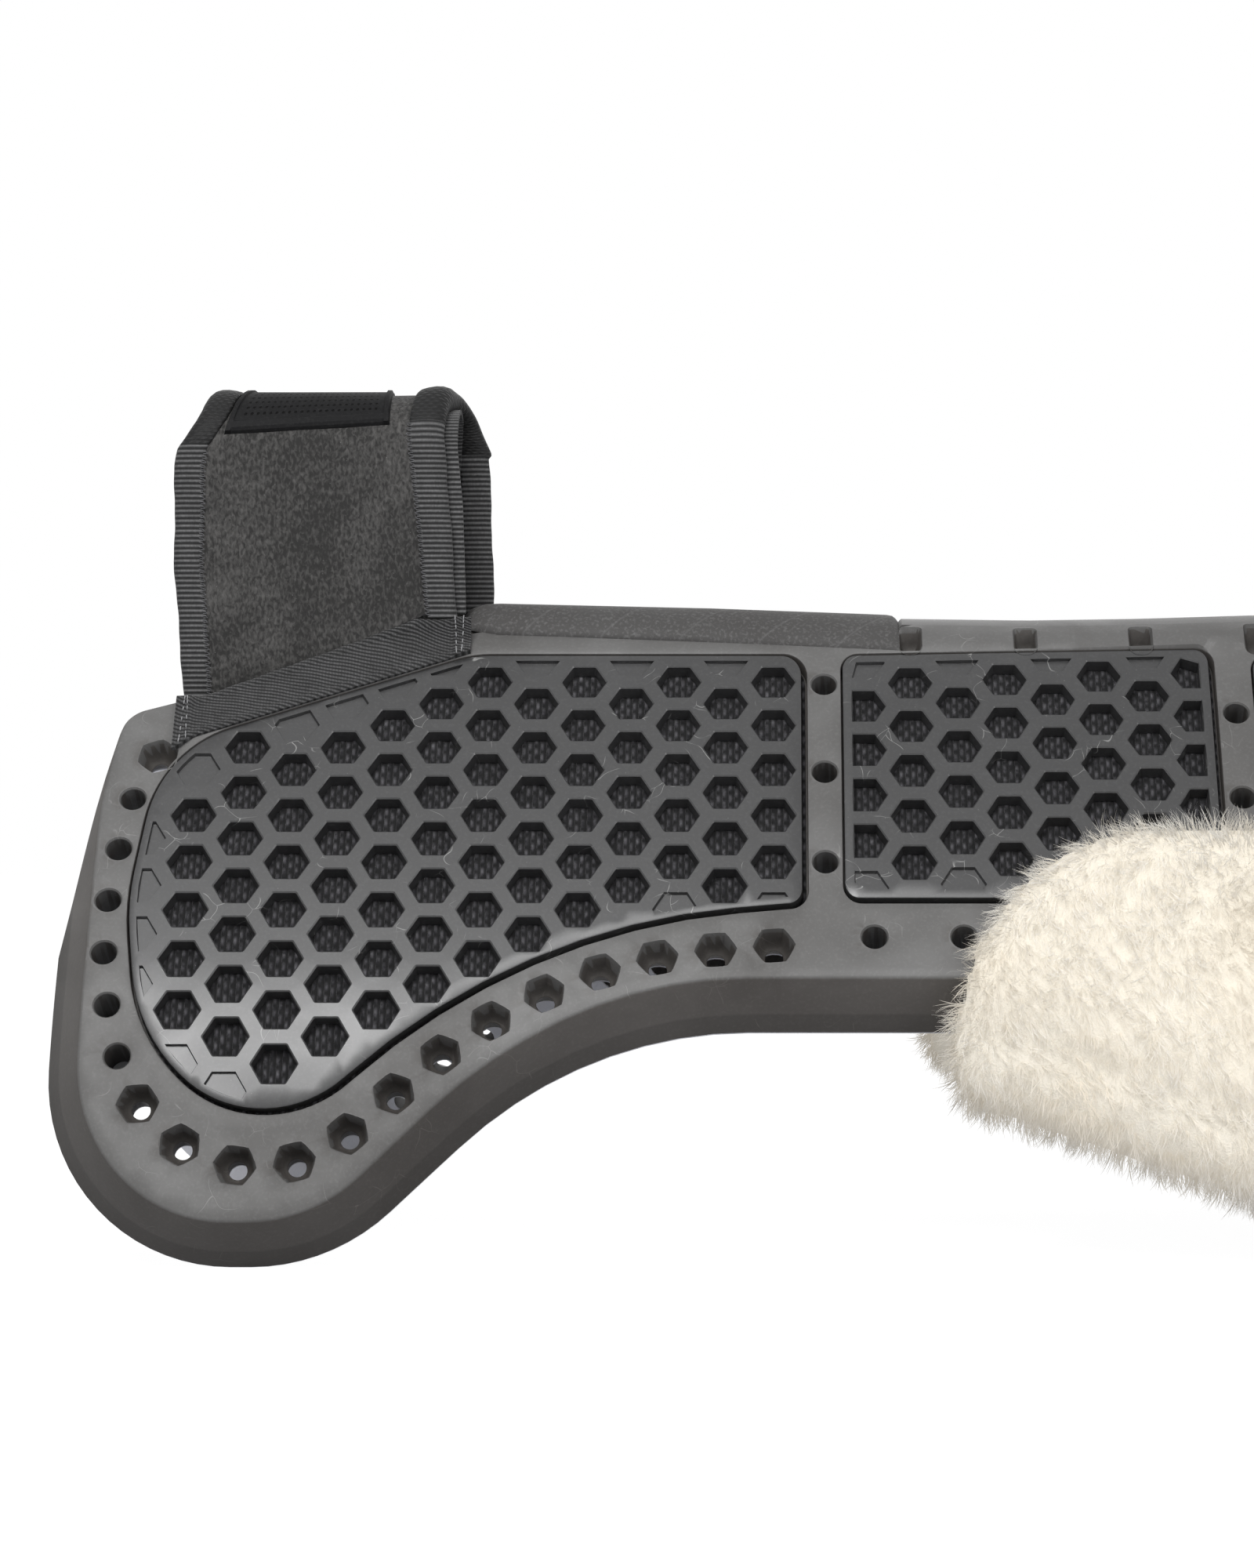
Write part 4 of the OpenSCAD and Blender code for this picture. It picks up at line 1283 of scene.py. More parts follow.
@dataclass
class PadMould:
    """The flat pattern of a panel, shared by both sides."""

    sizes: Sizes = SIZES
    spacing: float = 5.0
    bevel: tuple[tuple[float, float], ...] = (
        (0.0, -18.2), (3.7, -13.4), (4.4, -12.3), (11.7, -1.1), (12.3, -0.35), (13.1, 0.0),
        (400.0, 0.0),
    )
    holes: list[Hole] = field(default_factory=list)
    combs: dict[str, tuple[float, float]] = field(default_factory=lambda: {
        "front": (-39.3, 39.6), "middle": (8.4, 39.9), "rear": (140.5, 39.9)})
    cell_reach: float = 7.4
    ring_start: float = 14.0
    front_cups: int = 13
    front_vents: int = 6
    rear_cups: int = 40

    def __post_init__(self) -> None:
        """Works out the outlines and the holes."""
        z = self.sizes
        self.rim = densify(DRAPE.flat(z.rim(), -z.panel_t), 6.0)
        self.trim = densify(DRAPE.flat(z.top_limit()), 6.0)
        self.strip = np.array([[-300, DRAPE.strip_s], [300, DRAPE.strip_s], [300, 330], [-300, 330]], float)
        self.strip = densify(self.strip, 5.0)
        self.pockets = {}
        for name, outline in z.shim_outlines().items():
            loop = densify(DRAPE.flat(outline), 4.0)
            self.pockets[name] = moved_in(loop, -z.pocket_gap)
        ring = z.front_ring()
        for centre, turn in spaced(ring, self.ring_start, z.cup_pitch, self.front_cups):
            self.holes.append(self.cup(centre, turn))
        first_vent = self.ring_start + (self.front_cups - 1) * z.cup_pitch + z.vent_pitch
        for centre, _ in spaced(ring, first_vent, z.vent_pitch, self.front_vents):
            self.holes.append(self.vent(centre))
        self.holes.append(self.cup((z.front_x + 32.2, 168.8), 0.35))
        for centre, turn in spaced(z.rear_ring(), 0.0, z.cup_pitch, self.rear_cups):
            self.holes.append(self.cup(centre, turn))
        for k in range(3):
            self.holes.append(self.vent((-21.65, 194.0 - 30.5 * k)))
            self.holes.append(self.vent((121.15, 184.0 - 29.2 * k)))
        for x in (-5.5, 24.5):
            self.holes.append(self.vent((x, 108.2)))
        self.notches = [
            self.notch(x) for x in np.arange(z.facing_end_x + 3.75, z.panel_rear_x - 40, z.notch_pitch)
        ]

    def vent(self, centre: Sequence[float]) -> Hole:
        """A plain round vent with a softened lip.

        Args:
            centre: Centre of the hole, as (x, z).

        Returns:
            The hole.
        """
        c = DRAPE.flat(np.array([centre], float))[0]
        r, deep = self.sizes.vent_d / 2, self.sizes.knit_t - self.sizes.panel_t
        steps = ((r + 1.1, -0.25), (r + 0.45, -0.45), (r, -1.1), (r - 0.1, deep))
        return Hole(tuple(c), tuple((regular(c, radius, 24), d) for radius, d in steps))

    def cup(self, centre: Sequence[float], turn: float) -> Hole:
        """A hexagonal cup with a bowl-shaped floor and a bore through it.

        Args:
            centre: Centre of the hole, as (x, z).
            turn: Angle of the hexagon, in radians.

        Returns:
            The hole.
        """
        c = DRAPE.flat(np.array([centre], float))[0]
        tilt = math.degrees(float(DRAPE.face(c[1:])[2][0]))
        flare = 0.9 + 3.2 * max(0.0, tilt - 19.0) / 13.0
        r, bore = self.sizes.cup_w / 2, self.sizes.bore_d / 2
        deep = self.sizes.knit_t - self.sizes.panel_t
        steps = (
            (r + 0.7, -0.2, 1.0), (r + 0.2, -0.35, 1.0), (r - 0.15, -1.0, 1.0), (r - 1.1, -5.6, 0.9),
            (r - 2.1, -7.6, 0.7), (bore + 1.1, -9.0, 0.2), (bore + 0.4, -9.2, 0.0), (bore, -9.7, 0.0),
            (bore + flare, deep, 0.0),
        )
        angles = np.arange(24) * math.pi / 12
        sextant = np.mod(angles, math.pi / 3) - math.pi / 6
        straight = math.cos(math.pi / 6) / np.cos(sextant)
        straight = np.minimum(straight, 0.965)
        rings = []
        for radius, d, hexagon in steps:
            reach = radius * (hexagon * straight + (1 - hexagon) * 0.93 if hexagon else np.ones(24))
            a = angles - turn
            rings.append((c + np.stack([reach * np.cos(a), reach * np.sin(a)], 1), d))
        return Hole(tuple(c), tuple(rings))

    def notch(self, x: float) -> Hole:
        """A short upright slot in the flank of the spine.

        Args:
            x: Place along the pad.

        Returns:
            The hole.
        """
        low, high, half = 14.6, 26.8, 3.5
        rings = []
        for grow, d in ((0.8, None), (0.1, -0.6), (-0.2, -4.6), (-0.9, -6.6), (-2.2, -7.6)):
            w = half + grow
            path = rounded([
                (x - w, low - grow, w * 0.5), (x + w, low - grow, w * 0.5),
                (x + w, high + grow, w * 0.92), (x - w, high + grow, w * 0.92),
            ], step=15.0)
            rings.append((path, d))
        top = rings[0][0]
        return Hole((x, (low + high) / 2), ((top, self.ridge(top)), *rings[1:]))

    def ridge(self, flat: Array) -> Array:
        """Height of the raised bar over the spine at (x, s).

        Args:
            flat: The points, as (x, s).

        Returns:
            The heights.
        """
        x, s = flat[:, 0], np.abs(flat[:, 1])
        end = self.sizes.facing_end_x
        crest = np.interp(x, [end + 1, 50, 90, 130, 274], [1.7, 1.1, 1.7, 2.9, 3.0])
        crest = crest * soft_step(end - 0.5, end + 1.2, x)
        return crest * (1 - soft_step(20.5, 26.0, s))

    def depth(self, flat: Array) -> Array:
        """Depth of the face at (x, s), with the bevel round the rim and soft dips at the holes.

        Args:
            flat: The points, as (x, s).

        Returns:
            The depths.
        """
        away = distance(flat, self.rim)
        table = np.array(self.bevel)
        d = np.interp(away, table[:, 0], table[:, 1])
        near_face = soft_step(9.0, 15.0, away)
        for hole in self.holes:
            radius = np.linalg.norm(hole.rings[0][0][0] - hole.centre)
            off = flat - np.array(hole.centre)
            gap = np.maximum(np.linalg.norm(off, axis=1) - radius, 0)
            lean = 1.0 - 0.35 * off[:, 0] / np.maximum(np.linalg.norm(off, axis=1), 1)
            d = d - 0.42 * lean * np.exp(-((gap / 2.6) ** 2)) * near_face * (gap < 12)
        return d + self.ridge(flat)

    def region(self, holes: Sequence[Array]) -> Callable[[Array], Array]:
        """Test for points on the panel that lie outside the given holes.

        Args:
            holes: Outlines of the holes.

        Returns:
            The test, which takes points and tells which of them pass.
        """

        def keep(points: Array) -> Array:
            """Tells which points lie on the panel and clear of the holes.

            Args:
                points: Points to test, one a row.

            Returns:
                True for each point that does.
            """
            ok = inside(points, self.rim) & inside(points, self.trim) & (points[:, 1] > DRAPE.strip_s)
            for hole in holes:
                ok &= ~inside(points, hole)
            return ok

        return keep

    def guides(self) -> list[Array]:
        """Loops that both faces of the panel follow."""
        offsets = [moved_in(self.rim, t) for t in (3.7, 4.4, 8.0, 11.7, 12.3, 13.1)]
        return [self.rim, self.trim, self.strip, *offsets]

    @staticmethod
    def limits() -> tuple[Array, Array]:
        """Corners of the flat panel."""
        return np.array([-285.0, 11.0]), np.array([276.0, 262.0])

    def body(self) -> Shell:
        """The rubber of one panel.

        Returns:
            The shell.
        """
        low, high = self.limits()
        deep = self.sizes.knit_t - self.sizes.panel_t
        floor = -(self.sizes.shim_t + 1.4)
        shell = Shell()
        mouths = [h.rings[0][0] for h in (*self.holes, *self.notches)]
        pockets = list(self.pockets.values())
        lips = [moved_in(p, -0.8) for p in pockets]
        face = fill([*self.guides(), *lips, *mouths], self.region([*lips, *mouths]), self.spacing, low, high)
        depths = self.depth(face[0])
        shell.sheet(face, depths)
        cut = [*lips, *mouths]
        shell.walls(face, depths, deep, lambda p: np.any(
            [inside(p, moved_in(c, -0.4)) & (distance(p, c) < 0.3) for c in cut], axis=0))
        backs = [h.rings[-1][0] for h in self.holes]
        back = fill([*self.guides(), *backs], self.region(backs), self.spacing * 1.6, low, high)
        shell.sheet(back, deep, flip=True)
        # Tones paint shade into the cups, vents and notches: their lips stay unshaded, the walls below are
        # painted darker.
        for hole in self.holes:
            first = (hole.rings[0][0], self.depth(hole.rings[0][0]))
            shell.ladder([first, *hole.rings[1:4]], tone=0.0)
            shell.ladder(hole.rings[3:], tone=-2.6)
        for hole in self.notches:
            first = (hole.rings[0][0], self.depth(hole.rings[0][0]))
            shell.ladder([first, hole.rings[1]])
            shell.ladder(hole.rings[1:], tone=-4.5)
            self.close(shell, *hole.rings[-1])
        for pocket, lip in zip(pockets, lips):
            shell.ladder([(lip, self.depth(lip)), (moved_in(pocket, -0.25), -0.25), (pocket, -0.9),
                          (pocket, floor)])
            bed = fill([pocket], lambda p, loop=pocket: inside(p, loop), 12.0, pocket.min(0), pocket.max(0))
            shell.sheet(bed, floor)
        return shell

    @staticmethod
    def close(shell: Shell, loop: Array, depth: float) -> None:
        """Closes a loop with one face, painted with the shade read at a depth of 4 mm."""
        shell.add(np.column_stack([loop, np.full(len(loop), depth)]), [list(range(len(loop)))], tone=-4.0)

    def knit(self) -> Shell:
        """The knit on the inner face, open at the cups and closed over the vents.

        Returns:
            The shell.
        """
        low, high = self.limits()
        backs = [h.rings[-1][0] for h in self.holes if len(h.rings) > 5]
        flat = fill([*self.guides(), *backs], self.region(backs), self.spacing * 1.6, low, high)
        shell = Shell()
        shell.plate(flat, self.sizes.knit_t - self.sizes.panel_t, -self.sizes.panel_t)
        return shell

    def shim(self, name: str) -> Shell:
        """A honeycomb shim: through cells, and shallow cut ones along its edge.

        Args:
            name: Which shim it is.

        Returns:
            The shell.
        """
        z = self.sizes
        outline = moved_in(self.pockets[name], z.pocket_gap)
        outline = outline + np.array([-0.7, -0.7])
        top, deep = -0.1, -z.shim_t - 0.3
        border = moved_in(outline, 2.6)
        side_cut = moved_in(outline, 3.4) if name == "middle" else None
        through: list[Array] = []
        blind: list[Array] = []
        step = z.comb_pitch * math.sqrt(3) / 2
        upright = z.shim_outlines()[name]
        first_x, first_s = self.combs[name]
        rise = 0.045 if name == "middle" else 0.0
        for k in range(-15, 12):
            for j in range(-2, 12):
                c = np.array([first_x + k * step, first_s + (j + (0.5 if k % 2 else 0.0)) * z.comb_pitch])
                c[1] -= rise * (c[0] - first_x)
                cell = regular(c, z.cell_w / 2, 6)
                height = DRAPE.face(c[1:])[1]
                seen = np.array([[c[0], float(height[0])]])
                if inside(c[None], outline)[0] and distance(seen, upright)[0] > self.cell_reach:
                    through.append(self.soft(cell))
                    continue
                if name == "front" and -196 < c[0] < -80 and c[1] > 90:
                    continue
                part = clipped(side_cut if side_cut is not None else border, cell)
                if len(part) < 3:
                    continue
                share = abs(area_of(part)) / abs(area_of(cell))
                if side_cut is not None and share > 0.36 and inside(c[None] + (0, 4.5), border)[0] \
                        and inside(c[None] - (0, 4.5), border)[0]:
                    through.append(self.tidy(part))
                elif share > 0.12:
                    blind.append(self.tidy(part))
        shell = Shell()
        flare = [self.scaled(c, 0.5) for c in through]
        dips = [self.scaled(c, 0.15) for c in blind]
        crown = moved_in(outline, 0.7)
        flat = fill([crown, *flare, *dips], self.cells_region(crown, [*flare, *dips]), self.spacing,
                    outline.min(0), outline.max(0))
        shell.sheet(flat, top)
        shell.ladder([(crown, top), (moved_in(outline, 0.2), top - 0.2), (outline, top - 0.7),
                      (outline, deep)])
        lows = [self.scaled(c, -0.25) for c in through]
        for wide, cell, low_loop in zip(flare, through, lows):
            shell.ladder([(wide, top), (cell, top - 0.4), (low_loop, deep)])
        for wide, cell in zip(dips, blind):
            small = self.scaled(cell, -0.25)
            shell.ladder([(wide, top), (cell, top - 0.25), (small, top - 1.35)])
            shell.add(np.column_stack([small, np.full(len(small), top - 1.35)]), [list(range(len(small)))])
        base = fill([outline, *lows], self.cells_region(outline, lows), self.spacing * 2,
                    outline.min(0), outline.max(0))
        shell.sheet(base, deep, flip=True)
        return shell

    @staticmethod
    def cells_region(outline: Array, cells: Sequence[Array]) -> Callable[[Array], Array]:
        """Test for points in an outline and outside its cells.

        Args:
            outline: The closed outline.
            cells: Outlines of the cells.

        Returns:
            The test, which takes points and tells which of them pass.
        """

        def keep(points: Array) -> Array:
            """Tells which points lie in the outline and clear of the cells.

            Args:
                points: Points to test, one a row.

            Returns:
                True for each point that does.
            """
            ok = inside(points, outline)
            for cell in cells:
                ok &= ~inside(points, cell)
            return ok

        return keep

    @staticmethod
    def soft(cell: Array) -> Array:
        """A cell with its corners slightly rounded."""
        return rounded([(*p, 0.7) for p in cell], step=31.0)

    @staticmethod
    def tidy(part: Array) -> Array:
        """A cut cell without doubled points."""
        gap = np.linalg.norm(part - np.roll(part, 1, 0), axis=1)
        return part[gap > 0.35]

    @staticmethod
    def scaled(cell: Array, grow: float) -> Array:
        """A convex loop grown by an amount.

        Args:
            cell: The convex loop.
            grow: Distance to grow it by, in millimetres.

        Returns:
            The grown loop.
        """
        centre = cell.mean(0)
        off = cell - centre
        reach = np.linalg.norm(off, axis=1, keepdims=True)
        return centre + off * (1 + grow / np.maximum(reach, 1.0))

    def lining(self, name: str) -> Shell:
        """The woven lining on a pocket's floor.

        Args:
            name: Which pocket it lines.

        Returns:
            The shell.
        """
        z = self.sizes
        loop = moved_in(self.pockets[name], z.pocket_gap / 2)
        flat = fill([loop], lambda p: inside(p, loop), 4.0, loop.min(0), loop.max(0))
        floor = -(z.shim_t + 1.4)
        points = flat[0]
        swell = 0.22 * np.sin(points[:, 0] * 0.9) * np.sin(points[:, 1] * 0.7)
        top = floor + z.knit_t + swell * 0.6
        shell = Shell()
        shell.plate(flat, top, floor)
        return shell


class Pad:
    """Both panels with their shims, linings and knit."""

    def __init__(self, finishes: Finishes) -> None:
        """Keeps the finishes and the shared pattern."""
        self.finishes = finishes
        self.mould = PadMould()

    def build(self) -> None:
        """Builds every piece on both sides."""
        body, knit = self.mould.body(), self.mould.knit()
        knit_area = sum(abs(area_of(knit.points[0][face][:, :2])) for face in knit.first_sheet())
        shims = {name: self.mould.shim(name) for name in self.mould.pockets}
        linings = {name: self.mould.lining(name) for name in self.mould.pockets}
        for side in Side:
            word = side.word
            self.place(body.build(f"{word}_pad_rubber", side), f"{word}_side", f"{word}_panel", "pad_rubber")
            cloth = knit.build(f"{word}_inner_knit", side)
            self.laid(cloth, self.mould.rim, f"{word}_pad_rubber", float(knit_area))
            self.place(cloth, f"{word}_side", f"{word}_under_lining", "under_knit")
            for name, shell in shims.items():
                self.place(shell.build(f"{word}_{name}_honeycomb", side), f"{word}_{name}_insert",
                           f"{word}_{name}_shim", "shim_rubber")
                cloth = linings[name].build(f"{word}_{name}_pocket_cloth", side)
                self.laid(cloth, self.mould.pockets[name], f"{word}_pad_rubber")
                self.place(cloth, f"{word}_side", f"{word}_{name}_lining", "pocket_lining")

    @staticmethod
    def laid(piece: bpy.types.Object, loop: Array, under: str, area: Optional[float] = None) -> None:
        """Works out the area of a cloth that lies flat on the rubber, cut to a loop in (x, s), and does
        nothing more.

        Args:
            piece: The piece; not used.
            loop: The closed loop's points.
            under: The piece that it lies on; not used.
            area: Area of the cloth in mm2, or None for that of the loop.
        """
        area = abs(area_of(loop)) if area is None else area

    def place(self, piece: bpy.types.Object, body: str, node: str, finish: str) -> None:
        """Dresses a piece and lets it stand for its node.

        Args:
            piece: The piece.
            body: The body that the piece moves with.
            node: The node that the piece stands for.
            finish: Name of its material.
        """
        self.finishes.dress(piece, finish)
        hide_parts(node)
        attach(piece, body)
        log.info("%s: %d faces on %s", piece.name, len(piece.data.polygons), body)


@dataclass
class Spine:
    """The flexible strip over the spine and the grained facing over the withers."""

    finishes: Finishes
    mould: PadMould
    sizes: Sizes = SIZES
    side_steps: int = 10

    def build(self) -> None:
        """Builds both pieces, which arch over the crown between the two sides."""
        reach = DRAPE.strip_s
        for piece, node, finish in (
            (self.strip(reach), ("spine_strip",), "pad_rubber"),
            (self.facing(), ("near_wither_facing", "off_wither_facing"), "facing_foam"),
        ):
            self.finishes.dress(piece, finish)
            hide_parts(*node)
            y, z, _ = DRAPE.face(np.array([reach]))
            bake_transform(piece)
            log.info("%s: %d faces", piece.name, len(piece.data.polygons))

    def strip(self, reach: float) -> bpy.types.Object:
        """The strip between the panels.

        Args:
            reach: Half width, as a run from the crown.

        Returns:
            The piece.
        """
        z = self.sizes
        xs = np.concatenate([np.arange(z.wither_x - 10, z.facing_end_x - 1, 6.0), [
            z.facing_end_x - 0.5, z.facing_end_x, z.facing_end_x + 0.6, z.facing_end_x + 1.2],
            np.arange(z.facing_end_x + 5, z.panel_rear_x, 6.0), [z.panel_rear_x - 2, z.panel_rear_x]])
        runs = np.linspace(-reach, reach, 2 * self.side_steps + 1)
        grid = np.stack(np.meshgrid(xs, runs, indexing="ij"), -1)
        height = self.mould.ridge(grid.reshape(-1, 2)).reshape(grid.shape[:2])
        under = np.full_like(height, -z.panel_t)
        return self.closed("spine_rubber", np.dstack([grid, height]), np.dstack([grid, under]))

    def facing(self) -> bpy.types.Object:
        """The grained facing, thicker towards the withers.

        Returns:
            The piece.
        """
        z = self.sizes
        start = z.wither_x - 11
        end = z.facing_end_x
        xs = np.concatenate([[start + t for t in (0, 0.8, 2, 4)], np.arange(start + 8, end - 6, 5.0),
                             [end - t for t in (4, 2, 0.8, 0)]])
        shares = np.concatenate([[0, 0.015, 0.04, 0.08], np.linspace(0.14, 0.86, 19), [0.92, 0.96, 0.985, 1]])
        edge = np.interp(xs, [start, z.wither_x, end - 14, end], [11.0, 16.5, 24.5, 25.5])
        runs = edge[:, None] * (2 * shares[None, :] - 1)
        crest = np.interp(xs, [start, z.wither_x - 2, -61, 0, end], [4.6, 7.2, 5.4, 3.2, 2.8])
        inner = np.clip(1 - np.abs(2 * shares - 1), 0, 1)
        cross = 1.1 + (crest[:, None] - 1.1) * np.sqrt(soft_step(0.0, 0.8, inner))[None, :]
        lip = np.sqrt(np.clip(inner / 0.05, 0, 1))[None, :]
        ends = np.minimum(xs - xs[0], xs[-1] - xs)
        lip = lip * np.sqrt(np.clip((ends + 0.15) / 2.5, 0, 1))[:, None]
        height = np.maximum(cross * lip, 0.02)
        top = np.stack([np.broadcast_to(xs[:, None], runs.shape), runs, height], -1)
        low = top.copy()
        low[..., 2] = -0.35
        return self.closed("wither_facing", top, low)

    @staticmethod
    def closed(name: str, top: Array, low: Array) -> bpy.types.Object:
        """A closed piece between two grids of points.

        Args:
            name: The piece's name.
            top: Upper face, as rows and columns of (x, run, depth).
            low: Lower face, laid out the same way.

        Returns:
            The piece.
        """
        rows, columns, _ = top.shape
        faces = [
            [i * columns + k, (i + 1) * columns + k, (i + 1) * columns + k + 1, i * columns + k + 1]
            for i in range(rows - 1) for k in range(columns - 1)
        ]
        shell = Shell()
        shell.add(top.reshape(-1, 3), faces)
        shell.add(low.reshape(-1, 3), [face[::-1] for face in faces])
        for cut in (np.s_[0], np.s_[-1], np.s_[:, 0], np.s_[:, -1]):
            edge = np.concatenate([top[cut], low[cut]])
            count = len(edge) // 2
            shell.add(edge, [[k, k + 1, count + k + 1, count + k] for k in range(count - 1)])
        return shell.build(name, Side.NEAR)


def slab(
    name: str, outer: Array, inner: Array, uvs: Array, slots: Optional[Array] = None,
    sharp: float = 40.0,
) -> bpy.types.Object:
    """A closed sheet between two grids of points.

    Args:
        name: Name of the object.
        outer: Outer points in metres, shaped (rows, columns, 3).
        inner: Inner points, shaped the same.
        uvs: UV of each point in millimetres, shaped (rows, columns, 2).
        slots: Material slot of each row of faces.
        sharp: Angle in degrees past which an edge stays sharp.

    Returns:
        The object, at the origin.
    """
    rows, columns = outer.shape[:2]
    count = rows * columns
    faces, kinds = [], []
    for r in range(rows - 1):
        for c in range(columns - 1):
            a = r * columns + c
            quad = [a, a + columns, a + columns + 1, a + 1]
            faces += [quad, [i + count for i in quad[::-1]]]
            kinds += [int(slots[r]) if slots is not None else 0] * 2
    index = np.arange(count).reshape(rows, columns)
    for line in (index[0], index[-1], index[:, 0], index[:, -1]):
        for a, b in zip(line, line[1:]):
            faces.append([int(a), int(b), int(b) + count, int(a) + count])
            kinds.append(0)
    mesh = bpy.data.meshes.new(name)
    mesh.from_pydata(np.concatenate([outer.reshape(-1, 3), inner.reshape(-1, 3)]).tolist(), [], faces)
    mesh.polygons.foreach_set("material_index", kinds)
    flat = np.concatenate([uvs.reshape(-1, 2)] * 2)
    layer = mesh.uv_layers.new(name="flat")
    corner = np.zeros(len(mesh.loops), int)
    mesh.loops.foreach_get("vertex_index", corner)
    layer.data.foreach_set("uv", flat[corner].ravel())
    return finish_mesh(mesh, name, sharp)


# ---------------------------------------------------------------- repeats


class TreeBench(Bench):
    """Builds a Geometry Nodes tree with named inputs."""

    def __init__(self, name: str, inputs: Sequence[tuple[str, str]]) -> None:
        """Starts a tree.

        Args:
            name: Name of the tree.
            inputs: Name and socket type of each input after the geometry.
        """
        tree = bpy.data.node_groups.new(name, "GeometryNodeTree")
        super().__init__(tree)
        tree.interface.new_socket(name="Geometry", in_out="INPUT", socket_type="NodeSocketGeometry")
        self.keys = {
            label: tree.interface.new_socket(name=label, in_out="INPUT", socket_type=kind).identifier
            for label, kind in inputs
        }
        tree.interface.new_socket(name="Geometry", in_out="OUTPUT", socket_type="NodeSocketGeometry")
        self.source = self.add("NodeGroupInput")
        self.sink = self.add("NodeGroupOutput")

    def end(self, instances: bpy.types.NodeSocket) -> None:
        """Realizes the instances and gives them their material.

        Args:
            instances: The instances to realize.
        """
        real = self.add("GeometryNodeRealizeInstances", {0: instances}).outputs[0]
        dressed = self.add("GeometryNodeSetMaterial", {"Geometry": real,
                                                       "Material": self.source.outputs["Finish"]})
        self.tree.links.new(dressed.outputs[0], self.sink.inputs[0])

    def run(self, host: bpy.types.Object, name: str, values: dict[str, object]) -> bpy.types.Object:
        """Runs the tree on a host and keeps its result as a plain object.

        Args:
            host: Object that the tree works on. It is removed.
            name: Name of the result.
            values: Value of each named input.

        Returns:
            The new object, at the origin.
        """
        modifier = host.modifiers.new(self.tree.name, "NODES")
        modifier.node_group = self.tree
        for label, value in values.items():
            modifier[self.keys[label]] = value
        graph = bpy.context.evaluated_depsgraph_get()
        graph.update()
        mesh = bpy.data.meshes.new_from_object(host.evaluated_get(graph))
        mesh.name = name
        piece = bpy.data.objects.new(name, mesh)
        bpy.context.scene.collection.objects.link(piece)
        mesh.shade_smooth()
        bpy.data.objects.remove(host, do_unlink=True)
        return piece


class Sewing:
    """Sets stitches along seams."""

    def __init__(self, finishes: Finishes) -> None:
        """Builds the tree and the two stitch shapes.

        Args:
            finishes: The materials.
        """
        self.finishes = finishes
        self.tree = TreeBench("stitch_run", [("Shape", "NodeSocketObject"), ("Finish", "NodeSocketMaterial")])
        t = self.tree
        shape = t.add("GeometryNodeObjectInfo", {"Object": t.source.outputs["Shape"]}).outputs["Geometry"]
        turn = t.add("GeometryNodeInputNamedAttribute", {"Name": "turn"}, data_type="FLOAT_VECTOR")
        spin = t.add("FunctionNodeEulerToRotation", {0: turn.outputs[0]}).outputs[0]
        points = t.add("GeometryNodeInstanceOnPoints", {"Points": t.source.outputs["Geometry"],
                                                        "Instance": shape, "Rotation": spin})
        t.end(points.outputs[0])

    @staticmethod
    def shape(name: str, path: Sequence[tuple[float, float, float]], radius: float) -> bpy.types.Object:
        """A short thread along a path in millimetres, with five flat sides.

        Args:
            name: Name of the piece.
            path: The thread's middle line, in millimetres.
            radius: Radius of the thread.

        Returns:
            The thread.
        """
        path = np.array(path, float)
        ahead = np.gradient(path, axis=0)
        rows = []
        for i, (point, step) in enumerate(zip(path, ahead)):
            step = step / np.linalg.norm(step)
            side = np.cross(step, (0, 0, 1.0))
            side /= max(np.linalg.norm(side), 1e-6)
            up = np.cross(side, step)
            thin = 0.45 if i in (0, len(path) - 1) else 1.0
            a = np.arange(5) * 2 * math.pi / 5
            rows.append(point + radius * thin * (np.cos(a)[:, None] * side + np.sin(a)[:, None] * up))
        uvs = np.zeros((len(path), 6, 2))
        return tube(name, np.array(rows) * MM, uvs)

    def run(self, name: str, shape: bpy.types.Object, places: Array, frames: Array,
            finish: str) -> bpy.types.Object:
        """Sets one shape at each place.

        Args:
            name: Name of the piece.
            shape: The stitch, lying along X with Z outwards. It is removed.
            places: Points in metres.
            frames: Direction along the seam and outward normal of each point, shaped (n, 2, 3).
            finish: Name of the thread's finish.

        Returns:
            The stitches as one object.
        """
        mesh = bpy.data.meshes.new(name + "_places")
        mesh.from_pydata(np.asarray(places).tolist(), [], [])
        turns = []
        for ahead, out in frames:
            x = Vector(ahead).normalized()
            z = (Vector(out) - x * Vector(out).dot(x)).normalized()
            turns += Matrix((x, z.cross(x), z)).transposed().to_euler()[:]
        mesh.attributes.new("turn", "FLOAT_VECTOR", "POINT").data.foreach_set("vector", turns)
        host = bpy.data.objects.new(name + "_places", mesh)
        bpy.context.scene.collection.objects.link(host)
        piece = self.tree.run(host, name, {"Shape": shape, "Finish": self.finishes.made[finish]})
        bpy.data.objects.remove(shape, do_unlink=True)
        return piece


# ---------------------------------------------------------------- wither strap


